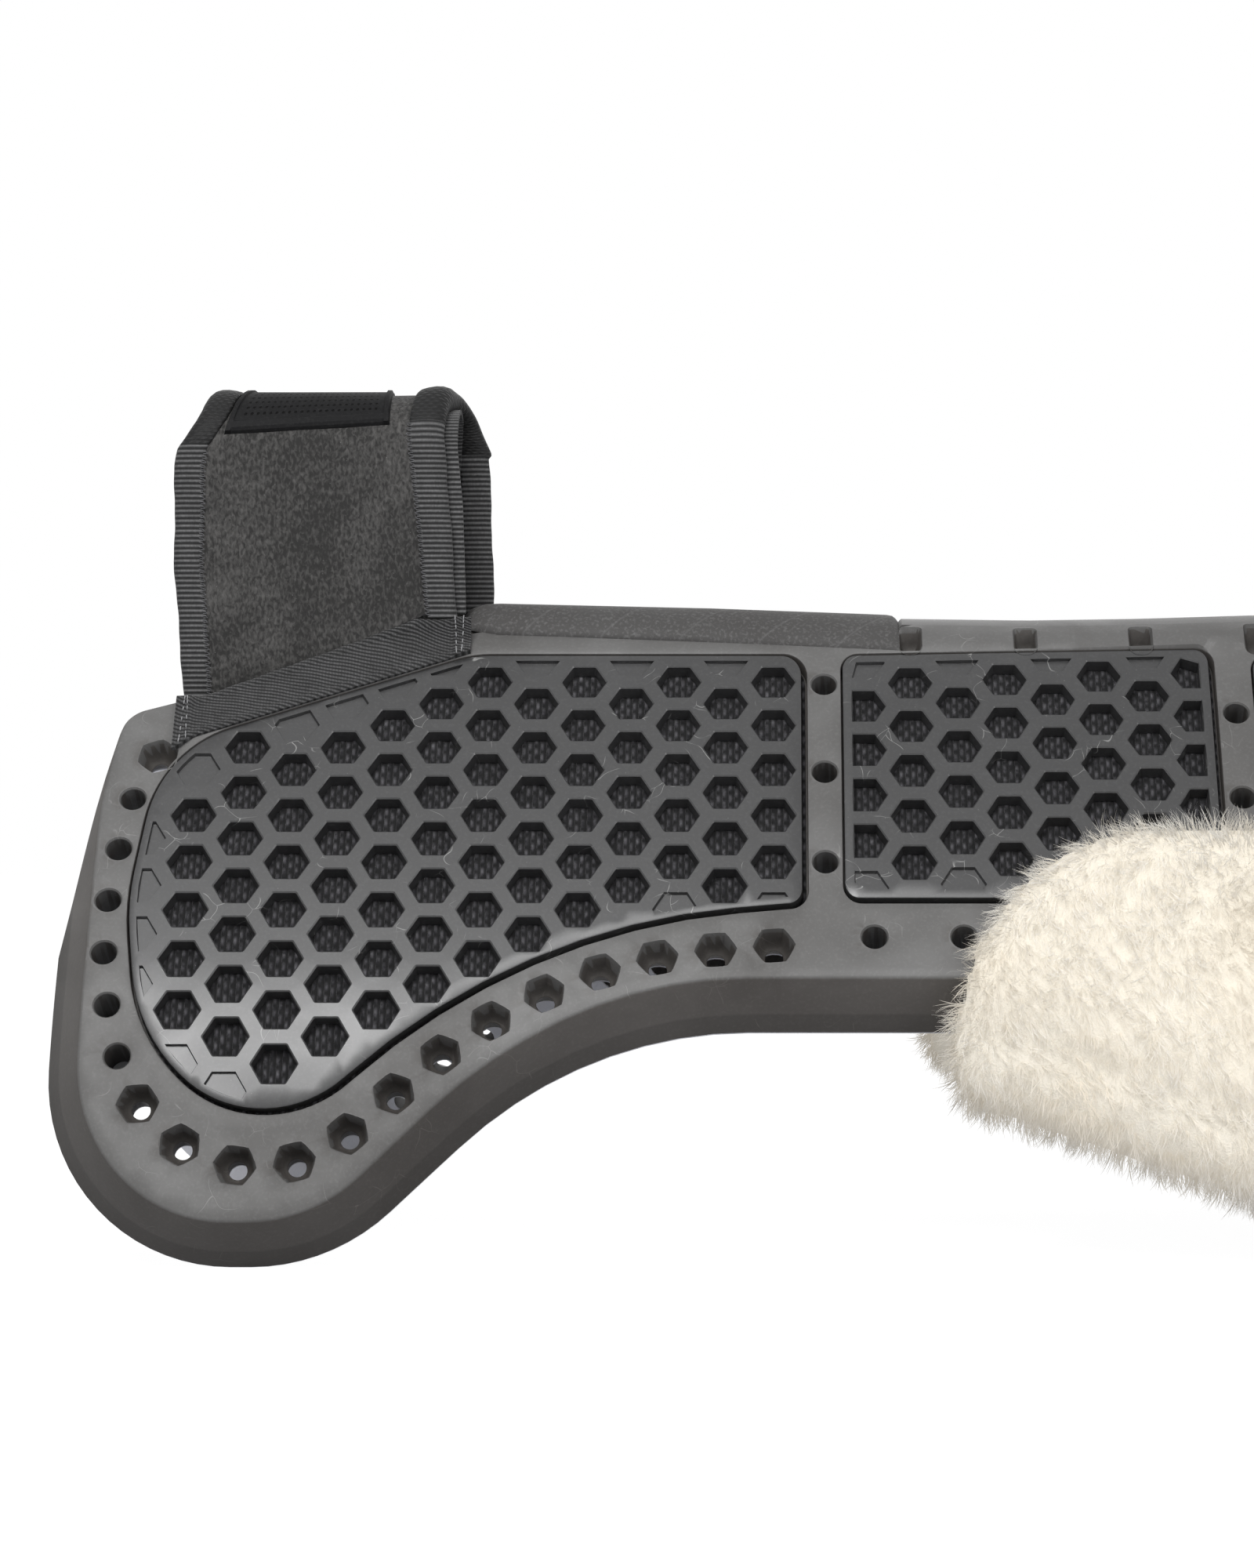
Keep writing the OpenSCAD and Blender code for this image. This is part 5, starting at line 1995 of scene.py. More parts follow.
@dataclass
class Strap:
    """The wither strap: velour legs over a fold, bound edges, badge, tail and tab tapes."""

    finishes: Finishes
    sewing: Sewing
    sizes: Sizes = SIZES
    top_z: float = 277.0
    middle_r: float = 18.0
    half_t: float = 2.0
    front_edge: tuple[tuple[float, float], ...] = (
        (-92, -246.0), (-63, -248.2), (-40, -249.8), (-6, -249.6), (0, -248.6), (3.1, -246.4),
        (6.3, -244.4), (9.4, -242.6), (14.1, -240.8), (18.8, -239.6), (28.3, -237.8),
        (56.5, -237.2), (160, -237.0),
    )
    rear_edge: tuple[tuple[float, float], ...] = (
        (-92, -149.6), (-61, -150.3), (-27, -152.5), (-4, -154.2), (4, -155.2), (14, -154.0),
        (22, -152.4), (30, -150.6), (37.7, -147.6), (47, -144.0), (53, -141.6), (56.3, -140.2),
        (57.6, -141.4), (80, -140.4), (110, -139.6), (160, -139.0),
    )

    @property
    def fold_run(self) -> float:
        """Length of the fold along its middle."""
        return math.pi * self.middle_r

    def point(self, run: Array, x: Array, out: Array) -> Array:
        """Place in metres at a run past the near leg's top, at x and a distance off the middle.

        Args:
            run: Run past the near leg's top.
            x: Place along the pad.
            out: Distance off the strap's middle layer.

        Returns:
            The places, in metres.
        """
        run, x, out = np.broadcast_arrays(np.asarray(run, float), x, out)
        turn = np.clip(run / self.middle_r, 0, math.pi)
        reach = self.middle_r + out
        below = np.minimum(run, 0) + np.minimum(self.fold_run - run, 0)
        return MM * np.stack([x, -reach * np.cos(turn), self.top_z + reach * np.sin(turn) + below], -1)

    def edge(self, run: Array, rear: bool) -> Array:
        """Place of the strap's front or rear edge."""
        table = np.array(self.rear_edge if rear else self.front_edge, float)
        return np.interp(run, table[:, 0], table[:, 1])

    @staticmethod
    def foot(x: Array) -> Array:
        """Height of the near leg's lower edge."""
        return 187.6 + 0.372 * np.maximum(np.asarray(x, float) + 238.0, 0)

    def rows(self, foot_z: Array, upper: bool, columns: int) -> Array:
        """Runs of a leg's rows, from its foot to its top, for each column.

        Args:
            foot_z: Height of the leg's foot, for each column.
            upper: Whether the rows stop under the fold.
            columns: Number of columns.

        Returns:
            The runs, one row a row of the leg.
        """
        share = np.linspace(0, 1, 24)[:, None]
        if upper:
            return self.fold_run + (self.top_z - foot_z)[None, :] * share
        fold = np.linspace(0, self.fold_run, 20)[1:, None] * np.ones((1, columns))
        return np.concatenate([(foot_z - self.top_z)[None, :] * (1 - share), fold])

    def build(self) -> None:
        """Builds every piece of the strap."""
        self.velour("near")
        self.velour("off")
        for leg in ("near", "off"):
            for rear in (False, True):
                self.binding(leg, rear)
        self.loop_tape()
        self.tail()
        self.badge()
        for side in Side:
            self.tab_tape(side)

    @staticmethod
    def settle(piece: bpy.types.Object, body: str, nodes: Sequence[str]) -> None:
        """Lets a piece stand for its nodes and move with its body.

        Args:
            piece: The piece.
            body: The body that the piece moves with.
            nodes: The nodes that the piece stands for.
        """
        if nodes:
            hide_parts(*nodes)
        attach(piece, body)
        log.info("%s: %d faces on %s", piece.name, len(piece.data.polygons), body)

    def velour(self, leg: str) -> None:
        """One leg's velour, the near one with the fold.

        Args:
            leg: Which leg: near or off.
        """
        columns = 34
        share = np.linspace(0, 1, columns)
        rough = -248.0 + 100.0 * share
        foot_z = self.foot(rough) if leg == "near" else self.sizes.wither_edge(rough + 9.0) + 0.4
        runs = self.rows(foot_z, leg == "off", columns)
        left, right = self.edge(runs, False) + 5.0, self.edge(runs, True) - 5.0
        x = left + (right - left) * share[None, :]
        wave = 0.22 * np.sin(x * 0.21 + runs * 0.13) + 0.16 * np.sin(runs * 0.31 - x * 0.11)
        seam = np.exp(-(((np.minimum(x - left, right - x) - 6.0) / 2.2) ** 2))
        out = self.half_t + wave * 0.5 - 0.35 * seam
        uvs = np.stack([x, runs], -1)
        piece = slab(f"{leg}_velour", self.point(runs, x, out), self.point(runs, x, -self.half_t), uvs)
        self.finishes.dress(piece, "strap_velour")
        nodes = ["near_leg", "strap_fold"] if leg == "near" else ["off_leg"]
        self.settle(piece, f"{leg}_strap", nodes)

    def binding(self, leg: str, rear: bool) -> None:
        """The grosgrain bound over one edge, with satin over the fold, and its stitches.

        Args:
            leg: Which leg: near or off.
            rear: Whether it is the rear edge.
        """
        word = "rear" if rear else "front"
        start = -59.6 if rear else -89.2
        end = self.fold_run
        if leg == "off":
            x_end = -145.0 if rear else -232.0
            start = self.fold_run + 0.05
            end = self.fold_run + self.top_z - self.sizes.wither_edge(x_end) - 0.6
        runs = np.arange(start, end, 1.2)
        runs = np.append(runs[end - runs > 0.3], end)
        section = np.array([
            (11, 2.0), (10.8, 2.45), (10.2, 2.75), (8.4, 3.1), (6.2, 3.35), (4.0, 3.3), (2.2, 2.9),
            (0.9, 2.1), (0.2, 1.1), (0, 0), (0.2, -1.1), (0.9, -2.1), (2.2, -2.8), (4.0, -3.0),
            (7.0, -2.95), (10.2, -2.75), (10.9, -2.5), (11, -2.05), (6, -2.05), (2.0, -2.0),
            (1.1, -1.2), (0.8, 0), (1.1, 1.2), (2.0, 2.0), (6, 2.05),
        ])
        if not rear:
            section = section[::-1]
        wide = np.interp(runs, [-60, 0, 20, 50, 60], [0.93, 1.12, 1.15, 1.05, 0.96])
        if not rear:
            wide = np.interp(runs, [-90, 0, 20, 60], [0.88, 0.96, 1.0, 0.96])
        across = section[None, :, 0] * wide[:, None]
        edge = self.edge(runs, rear)[:, None]
        ripple = 0.22 * np.sin(runs * 0.19 + (1.3 if rear else 0.2)) + 0.07 * np.sin(runs * 0.61)
        x = edge - across + ripple[:, None] if rear else edge + across + ripple[:, None]
        bulge = 1.5 * np.exp(-(((runs - 24) / 8) ** 2)) + 0.5 * np.exp(-(((runs - 50) / 5) ** 2))
        swell = 1 + (bulge[:, None] * 0.42 if rear else 0.15 * bulge[:, None])
        rows = self.point(runs[:, None], x, section[None, :, 1] * swell)
        around = np.concatenate([[0], np.cumsum(np.linalg.norm(np.diff(section, axis=0), axis=1))])
        around = np.append(around, around[-1] + 4.0)
        uvs = np.stack(np.broadcast_arrays(runs[:, None], around[None, :]), -1)
        piece = tube(f"{leg}_{word}_grosgrain", rows, uvs, sharp=80.0)
        self.finishes.dress(piece, "grosgrain", "satin")
        first = 9.0 if rear else 0.5
        kinds = np.zeros(len(piece.data.polygons), int)
        middles = np.array([p.center[:] for p in piece.data.polygons]) / MM
        turn = np.degrees(np.arctan2(middles[:, 2] - self.top_z, -middles[:, 1]))
        if leg == "near":
            kinds[(turn > first / self.middle_r * 57.3) & (turn < 179.9)] = 1
        piece.data.polygons.foreach_set("material_index", kinds)
        nodes = [f"{leg}_{word}_binding"] + ([f"fold_{word}_binding"] if leg == "near" else [])
        self.settle(piece, f"{leg}_strap", nodes)
        self.seam(leg, rear, start, min(end, first) if leg == "near" else end, wide, runs)

    def seam(self, leg: str, rear: bool, start: float, end: float, wide: Array, runs: Array) -> None:
        """Zig-zag stitches along the binding's inner edge.

        Args:
            leg: Which leg: near or off.
            rear: Whether it is the rear edge.
            start: Run of the first stitch.
            end: Run of the last stitch.
            wide: Width of the zig-zag.
            runs: Runs of the rows.
        """
        steps = np.arange(start + 1.2, end - 0.6, 1.6)
        sign = -1.0 if rear else 1.0
        x = self.edge(steps, rear) + sign * 10.6 * np.interp(steps, runs, wide)
        places = self.point(steps, x, 2.62)
        outward = np.array([0.0, -1.0 if leg == "near" else 1.0, 0.0])
        frames = np.array([[(sign, 0, 0.0), outward]] * len(steps))
        shape = self.sewing.shape("zigzag", [(-1.3, 0.75, 0.0), (-0.4, 0.25, 0.26), (0.5, 0.1, 0.2),
                                             (1.1, -0.45, 0.0), (0.2, -0.6, 0.22), (-1.2, -0.7, -0.1)], 0.17)
        word = "rear" if rear else "front"
        piece = self.sewing.run(f"{leg}_{word}_zigzag", shape, places, frames, "thread")
        self.settle(piece, f"{leg}_strap", [])

    def loop_tape(self) -> None:
        """Loop tape on the near leg's inner face."""
        columns = 12
        share = np.linspace(0, 1, columns)
        x = -235.0 + 72.0 * share
        low = self.foot(x) + 4.0 - self.top_z
        runs = low[None, :] * (1 - np.linspace(0, 1, 14)[:, None]) - 5.0 * np.linspace(0, 1, 14)[:, None]
        x = np.broadcast_to(x[None, :], runs.shape)
        piece = slab("near_loop_pile", self.point(runs, x, -2.05), self.point(runs, x, -2.75),
                     np.stack([x, runs], -1))
        self.finishes.dress(piece, "hook_and_loop")
        self.settle(piece, "near_strap", ["near_loop_tape"])

    def tail(self) -> None:
        """The hook tail: from the off leg under the fold and down behind the near leg."""
        columns = 16
        share = np.linspace(0, 1, columns)
        runs = np.linspace(-58.0, self.fold_run + 12.0, 44)[:, None] * np.ones((1, columns))
        left = np.interp(runs, [-52, 0, 56], [-234.0, -234.0, -226.0])
        right = np.interp(runs, [-52, -20, 0, 40, 70], [-147.6, -148.6, -150.5, -150.0, -152.0])
        x = left + (right - left) * share[None, :]
        low = np.interp(runs, [-52, 50, 56.5, 70], [-4.7, -4.7, -4.3, -4.3])
        outer = self.point(runs, x, np.interp(runs, [-52, 46, 54, 70], [-3.05, -3.05, -2.1, -2.1]))
        piece = slab("hook_tail_strip", outer, self.point(runs, x, low), np.stack([runs, x], -1))
        self.finishes.dress(piece, "hook_and_loop", "grosgrain")
        kinds = np.zeros(len(piece.data.polygons), int)
        middles = np.array([p.center[:] for p in piece.data.polygons]) / MM
        kinds[middles[:, 0] > -158.0] = 1
        piece.data.polygons.foreach_set("material_index", kinds)
        self.settle(piece, "off_strap", ["hook_tail"])

    def badge(self) -> None:
        """The moulded badge over the fold: a raised rim round a plate of fine dots."""
        across = np.array([0, 0.25, 0.6, 2.0, 2.3, 2.6, 8, 14, 20, 26, 32, 38, 44, 50, 55.4, 55.7, 56.0,
                           57.4, 57.75, 58.0])
        along = np.array([0, 0.02, 0.05, 0.11, 0.13, 0.15, 0.25, 0.35, 0.45, 0.55, 0.65, 0.75, 0.85, 0.87,
                          0.89, 0.95, 0.98, 1.0])
        lift = np.array([0.1, 1.2, 1.8, 1.8, 1.6, 1.1])
        rise_x = np.concatenate([lift, np.full(len(across) - 12, 1.1), lift[::-1]])
        rise_s = np.concatenate([lift, np.full(len(along) - 12, 1.1), lift[::-1]])
        height = np.minimum(np.minimum(rise_x[None, :], 1.8), rise_s[:, None])
        edge = (across < 2.2) | (across > 55.8)
        ends = (along < 0.12) | (along > 0.88)
        inner = ~(edge[None, :] | ends[:, None])
        rim_x = rise_x[None, :] + 0.7 * ends[:, None] * (rise_x >= 1.1)
        rim_s = rise_s[:, None] + 0.7 * edge[None, :] * (rise_s[:, None] >= 1.1)
        height = np.where(inner, height, np.minimum(rim_x, rim_s))
        height = np.minimum(height, 1.8)
        share = across / 58.0
        start = self.middle_r * np.radians(13.6 + 10.4 * share)
        end = self.middle_r * math.radians(114)
        runs = start[None, :] + (end - start)[None, :] * along[:, None]
        skew = np.interp(runs, [4, 28, 40], [0, 7.0, 8.5]) * (1 - share[None, :])
        x = -232.1 + skew + across[None, :]
        outer = self.point(runs, x, self.half_t + 0.15 + height)
        uvs = np.stack([np.broadcast_to(across, runs.shape), along[:, None] * 28.0 + 0 * runs], -1)
        low = self.point(runs, x, self.half_t - 0.2)
        piece = slab("strap_badge_plate", outer, low, uvs, sharp=30.0)
        self.finishes.dress(piece, "badge_rubber")
        self.settle(piece, "near_strap", ["strap_badge"])

    def tab_tape(self, side: Side) -> None:
        """The twill tape that joins a leg to the panel, with its box stitches.

        Args:
            side: The side of the pad.
        """
        if side is Side.NEAR:
            x = np.linspace(-246.2, -145.2, 60)
            high = np.minimum(self.foot(x) + 1.0, 215.8 + 0 * x)
            low = 172.0 + 0.314 * (x + 249.0) - 2.6 * (1 - soft_step(-246.2, -238.0, x))
        else:
            x = np.linspace(-251.0, -139.0, 60)
            high = self.sizes.wither_edge(x) - 0.2
            low = high - 12.5
        across = np.array([0, 0.06, 0.14, 0.17, 0.35, 0.5, 0.65, 0.83, 0.86, 0.94, 1.0])
        thick = np.array([1.0, 1.5, 1.45, 1.1, 1.2, 1.25, 1.2, 1.1, 1.45, 1.5, 1.0])
        z = low[None, :] + (high - low)[None, :] * across[:, None]
        run = DRAPE.run_at(z)
        face_y, _, tilt = DRAPE.face(run)
        ends = np.minimum(x - x[0], x[-1] - x)
        doubled = 0.9 * (1 - soft_step(5.5, 6.3, ends))[None, :]
        ripple = 0.18 * np.sin(x[None, :] * 0.5 + across[:, None] * 2.0)
        lift = thick[:, None] + doubled + ripple
        grids = []
        for out in (lift, 0.12 + 0 * lift):
            y = np.maximum(face_y + out * np.cos(tilt), 20.2 + out * 0.6 if side is Side.NEAR else 0)
            grids.append(MM * np.stack([x[None, :] + 0 * z, side.value * y, z + out * np.sin(tilt)], -1))
        width = (high - low).mean() / 0.8
        uvs = np.stack([x[None, :] + 0 * z, across[:, None] * width + 0 * z], -1)
        slots = np.array([1, 1, 1, 0, 0, 0, 0, 1, 1, 1])
        piece = slab(f"{side.word}_twill_tape", grids[0], grids[1], uvs, slots, sharp=50.0)
        self.finishes.dress(piece, "twill_tape", "selvedge")
        self.settle(piece, f"{side.word}_side", [f"{side.word}_tab_tape"])
        self.box(side, x, grids[0])

    def box(self, side: Side, x: Array, grid: Array) -> None:
        """Two crossing rows of stitches at each end of a tab tape.

        Args:
            side: The side of the pad.
            x: Place of each column of the grid.
            grid: Places of the tape's face.
        """
        places, frames = [], []
        outward = np.array([0, side.value * 0.8, 0.6])
        for at, lean in ((2.6, 0.5), (4.2, -0.4), (-2.8, 0.3), (-5.2, -0.5)):
            base = (x[0] if at > 0 else x[-1]) + at
            for share in np.linspace(0.12, 0.9, 7):
                column = np.interp(base + lean * (share - 0.5) * 2, x, np.arange(len(x)))
                row = share * (len(grid) - 1)
                low, left = int(row), int(column)
                corner = grid[low, left]
                here = corner + (grid[min(low + 1, len(grid) - 1), left] - corner) * (row - low)
                here = here + (grid[low, min(left + 1, len(x) - 1)] - corner) * (column - left)
                places.append(here + outward * 0.15 * MM)
                step = grid[-1, left] - grid[0, left]
                frames.append([step + np.array([lean * 3 * MM, 0, 0]), outward])
        shape = self.sewing.shape("lock", [(-0.85, 0, -0.1), (-0.45, 0, 0.16), (0.45, 0, 0.16),
                                           (0.85, 0, -0.1)], 0.2)
        piece = self.sewing.run(f"{side.word}_tab_stitches", shape, np.array(places), np.array(frames),
                                "pale_thread")
        self.settle(piece, f"{side.word}_side", [])


# ---------------------------------------------------------------- fleece cover


@dataclass
class Fleece:
    """The fleece cover over the rear of a panel: hook tape, knitted backing and pile."""

    finishes: Finishes
    mould: PadMould
    sizes: Sizes = SIZES
    backing_d: float = 1.3
    backing_t: float = 1.6
    pile_t: float = 13.0
    locks: tuple[int, int] = (3300, 3)
    hook_band: tuple[float, float] = (13.2, 21.0)
    wrap: float = -15.0
    voxel_m: float = 0.0028
    seeded_share: float = 0.62

    def outline(self) -> Array:
        """Outline of the pile, as (x, s).

        Returns:
            The outline, as a closed loop.
        """
        rear = self.sizes.rear_x
        corners = [(15, 56, 18), (178, 0, 120), (rear, 0, 46.2), (rear, 147, 24), (15, 147, 76)]
        return densify(DRAPE.flat(rounded(corners), self.backing_d), 5.0)

    def build(self) -> None:
        """Builds the cover on both sides."""
        tree = self.tree()
        for side in Side:
            self.hook_tape(side)
            self.backing(side)
            self.pile(side, tree)

    def hook_tape(self, side: Side) -> None:
        """Hook tape inside the rim, which holds the cover.

        Args:
            side: The side of the pad.
        """
        rim = self.mould.rim
        near, far = self.hook_band

        def keep(points: Array) -> Array:
            """Tells which points lie in the tape's band along the rim.

            Args:
                points: Points to test, one a row.

            Returns:
                True for each point that does.
            """
            away = distance(points, rim)
            return (away > near) & (away < far) & inside(points, rim) & (points[:, 0] > 62) & (
                points[:, 1] > 112)

        loops = [moved_in(rim, near), moved_in(rim, far)]
        flat = fill(loops, keep, 5.0, np.array([60.0, 100.0]), np.array([275.0, 262.0]))
        shell = Shell()
        shell.plate(flat, 0.95, 0.05)
        piece = shell.build(f"{side.word}_hook_strip", side)
        self.finishes.dress(piece, "hook_and_loop")
        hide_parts(f"{side.word}_hook_tape")
        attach(piece, f"{side.word}_side")
        log.info("%s: %d faces", piece.name, len(piece.data.polygons))

    def backing(self, side: Side) -> None:
        """The knit that carries the pile.

        Args:
            side: The side of the pad.
        """
        loop = moved_in(self.outline(), 6.5)
        flat = fill([loop], lambda p: inside(p, loop), 6.0, loop.min(0), loop.max(0))
        shell = Shell()
        shell.plate(flat, self.backing_d + self.backing_t, self.backing_d)
        piece = shell.build(f"{side.word}_fleece_knit", side)
        self.finishes.dress(piece, "fleece_knit")
        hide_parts(f"{side.word}_fleece_backing")
        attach(piece, f"{side.word}_fleece")
        log.info("%s: %d faces", piece.name, len(piece.data.polygons))

    def core(self, side: Side) -> bpy.types.Object:
        """The dense, lumpy body of the pile, wrapped past the panel's rim.

        Args:
            side: The side of the pad.

        Returns:
            The piece.
        """
        outline = densify(moved_in(self.outline(), 5.5), 5.0)
        panel = moved_in(self.mould.rim, -0.8)
        rings = [moved_in(outline, t) for t in (1.2, 3.0, 6.0, 11.0, 18.0)]
        low, high = outline.min(0), outline.max(0)
        top = fill([outline, *rings], lambda p: inside(p, outline), 5.0, low, high)
        away = np.where(inside(top[0], outline), distance(top[0], outline), 0)
        crown = self.pile_t * (1 - (1 - np.clip(away / 17.0, 0, 1)) ** 2.2) * 0.8
        parting = DRAPE.flat(np.array([[20.0, 78.0], [290.0, -12.0]]), self.backing_d)
        crown = crown - 5.0 * np.exp(-(distance(top[0], parting) / 7.5) ** 2) * np.clip(away / 14, 0, 1)
        lumps = np.sin(top[0][:, 0] * 0.19 + 1.7 * np.sin(top[0][:, 1] * 0.11))
        lumps = lumps * np.sin(top[0][:, 1] * 0.23 + np.sin(top[0][:, 0] * 0.07) * 2.1)
        depth = self.backing_d + self.backing_t + 0.4 + crown + 0.9 * lumps * np.clip(away / 12, 0, 1)
        shell = Shell()
        shell.sheet(top, depth)
        floor = self.backing_d + self.backing_t + 0.1

        def over(points: Array) -> Array:
            """Tells which points of the cover lie over the panel."""
            return inside(points, outline) & inside(points, panel)

        def past(points: Array) -> Array:
            """Tells which points of the cover lie past the panel's rim."""
            return inside(points, outline) & ~inside(points, panel)

        under = fill([outline, densify(panel, 5.0)], over, 7.0, low, high)
        rim = fill([outline, densify(panel, 5.0)], past, 7.0, low, high)
        shell.sheet(under, floor, flip=True)
        shell.sheet(rim, self.wrap, flip=True)
        shell.walls(rim, np.full(len(rim[0]), self.wrap), floor, lambda p: distance(p, outline) < 0.4)
        shell.walls(top, depth, np.where(inside(top[0], panel), floor, self.wrap))
        piece = shell.build(f"{side.word}_fleece_core", side, sharp=80.0)
        modifier = piece.modifiers.new("even", "REMESH")
        modifier.mode = "VOXEL"
        modifier.voxel_size = self.voxel_m
        modifier.use_smooth_shade = True
        graph = bpy.context.evaluated_depsgraph_get()
        graph.update()
        mesh = bpy.data.meshes.new_from_object(piece.evaluated_get(graph))
        piece.modifiers.clear()
        old = piece.data
        piece.data = mesh
        bpy.data.meshes.remove(old)
        mesh.name = piece.name
        return piece

    def tree(self) -> TreeBench:
        """Tree that sows locks of strands over a surface and combs them down.

        Returns:
            The tree.
        """
        t = TreeBench("sow_pile", [
            ("Shape", "NodeSocketObject"), ("Finish", "NodeSocketMaterial"), ("Density", "NodeSocketFloat"),
            ("Seed", "NodeSocketInt"), ("Outward", "NodeSocketVector"),
        ])
        i = t.source.outputs
        shape = t.add("GeometryNodeObjectInfo", {"Object": i["Shape"]}).outputs["Geometry"]
        normal = t.add("GeometryNodeInputNormal").outputs[0]
        facing = t.add("ShaderNodeVectorMath", {0: normal, 1: i["Outward"]}, operation="DOT_PRODUCT")
        chosen = t.add("FunctionNodeCompare", {0: facing.outputs["Value"], 1: -0.12}, data_type="FLOAT",
                       operation="GREATER_THAN").outputs[0]
        sown = t.add("GeometryNodeDistributePointsOnFaces", {
            "Mesh": i["Geometry"], "Selection": chosen, "Density": i["Density"], "Seed": i["Seed"]})
        place = t.add("GeometryNodeInputPosition").outputs[0]
        clump = t.add("ShaderNodeTexNoise", {"Vector": place, "Scale": 42.0, "Detail": 2.0}).outputs[1]
        wide = t.add("ShaderNodeTexNoise", {"Vector": place, "Scale": 13.0, "Detail": 1.0}).outputs[1]
        lean = self.centred(t, clump, 0.75)
        broad = self.centred(t, wide, 1.0)
        down = t.add("FunctionNodeInputVector")
        down.vector = (0.0, 0.0, -0.55)
        way = t.add("ShaderNodeVectorMath", {0: sown.outputs["Normal"], 1: down.outputs[0]}).outputs[0]
        way = t.add("ShaderNodeVectorMath", {0: way, 1: lean}).outputs[0]
        way = t.add("ShaderNodeVectorMath", {0: way, 1: broad}).outputs[0]
        own = t.add("FunctionNodeRandomValue", {0: (-0.14, -0.14, -0.14), 1: (0.14, 0.14, 0.14),
                                                "Seed": 11}, data_type="FLOAT_VECTOR").outputs[0]
        way = t.add("ShaderNodeVectorMath", {0: way, 1: own}).outputs[0]
        stand = t.add("FunctionNodeAlignRotationToVector", {"Vector": way}, axis="Z").outputs[0]
        angle = t.add("FunctionNodeRandomValue", {2: 0.0, 3: 6.28, "Seed": 5}, data_type="FLOAT").outputs[1]
        spin = t.add("FunctionNodeAxisAngleToRotation", {"Axis": (0.0, 0.0, 1.0), "Angle": angle}).outputs[0]
        turn = t.add("FunctionNodeRotateRotation", {0: stand, 1: spin}, rotation_space="LOCAL").outputs[0]
        size = t.add("FunctionNodeRandomValue", {2: 0.6, 3: 1.15, "Seed": 7}, data_type="FLOAT").outputs[1]
        kept = t.add("GeometryNodeStoreNamedAttribute", {
            "Geometry": sown.outputs["Points"], "Name": "lay", "Value": sown.outputs["Normal"],
        }, data_type="FLOAT_VECTOR", domain="POINT").outputs[0]
        locks = t.add("GeometryNodeInstanceOnPoints", {"Points": kept, "Instance": shape,
                                                       "Rotation": turn, "Scale": size})
        t.end(locks.outputs[0])
        return t

    @staticmethod
    def centred(t: TreeBench, colour: bpy.types.NodeSocket, amount: float) -> bpy.types.NodeSocket:
        """A noise colour as a vector round zero.

        Args:
            t: The tree that gets the nodes.
            colour: The noise's colour.
            amount: Factor for the vector's length.

        Returns:
            The vector.
        """
        off = t.add("ShaderNodeVectorMath", {0: colour, 1: (0.5, 0.5, 0.5)}, operation="SUBTRACT")
        scaled = t.add("ShaderNodeVectorMath", {0: off.outputs[0], "Scale": amount}, operation="SCALE")
        return scaled.outputs[0]

    @staticmethod
    def lock(seed: int) -> bpy.types.Object:
        """A lock of seven thin wavy strands, as ribbons that rise along Z.

        Args:
            seed: Seed of the strands' shapes.

        Returns:
            The lock.
        """
        rng = np.random.default_rng(seed)
        points, faces, along = [], [], []
        parts = 4
        for _ in range(7):
            root = rng.normal(0, 0.8, 2)
            bend = rng.normal(0, 1.3, 2) + np.array([1.6, 0.0])
            curl, phase = rng.uniform(0.2, 0.7), rng.uniform(0, 6.28)
            length, turn = rng.uniform(6.0, 11.0), rng.uniform(0, math.pi)
            side = np.array([math.cos(turn), math.sin(turn), 0.0])
            first = len(points)
            for k in range(parts + 1):
                t = k / parts
                sway = curl * math.sin(phase + t * 4.5) * t
                here = np.array([root[0] + bend[0] * t * t + sway, root[1] + bend[1] * t * t - sway * 0.6,
                                 length * t * (1 - 0.12 * t) - 1.0])
                half = 0.12 * (1 - t) ** 0.6 + 0.02
                points += [here - side * half, here + side * half]
                along += [t, t]
            faces += [[first + 2 * k, first + 2 * k + 1, first + 2 * k + 3, first + 2 * k + 2]
                      for k in range(parts)]
        mesh = bpy.data.meshes.new("lock")
        mesh.from_pydata((np.array(points) * MM).tolist(), [], faces)
        mesh.attributes.new("along", "FLOAT", "POINT").data.foreach_set("value", along)
        piece = bpy.data.objects.new("lock", mesh)
        bpy.context.scene.collection.objects.link(piece)
        return piece

    def pile(self, side: Side, tree: TreeBench) -> None:
        """The pile's body, and several sowings of strands on it.

        Args:
            side: The side of the pad.
            tree: The tree that sows the strands.
        """
        core = self.core(side)
        self.finishes.dress(core, "fleece_core")
        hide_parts(f"{side.word}_fleece_pile")
        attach(core, f"{side.word}_fleece")
        sowings = self.locks[1]
        area = sum(p.area for p in core.data.polygons) * self.seeded_share
        for k in range(sowings):
            host = bpy.data.objects.new("sow", core.data.copy())
            bpy.context.scene.collection.objects.link(host)
            shape = self.lock(3 + k)
            strands = tree.run(host, f"{side.word}_fleece_strands_{k}", {
                "Shape": shape, "Finish": self.finishes.made["fleece_pile"],
                "Density": self.locks[0] / area, "Seed": 17 + k, "Outward": (0.0, side.value * 0.9, 0.1)})
            bpy.data.objects.remove(shape, do_unlink=True)
            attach(strands, f"{side.word}_fleece")
            log.info("%s: %d faces", strands.name, len(strands.data.polygons))


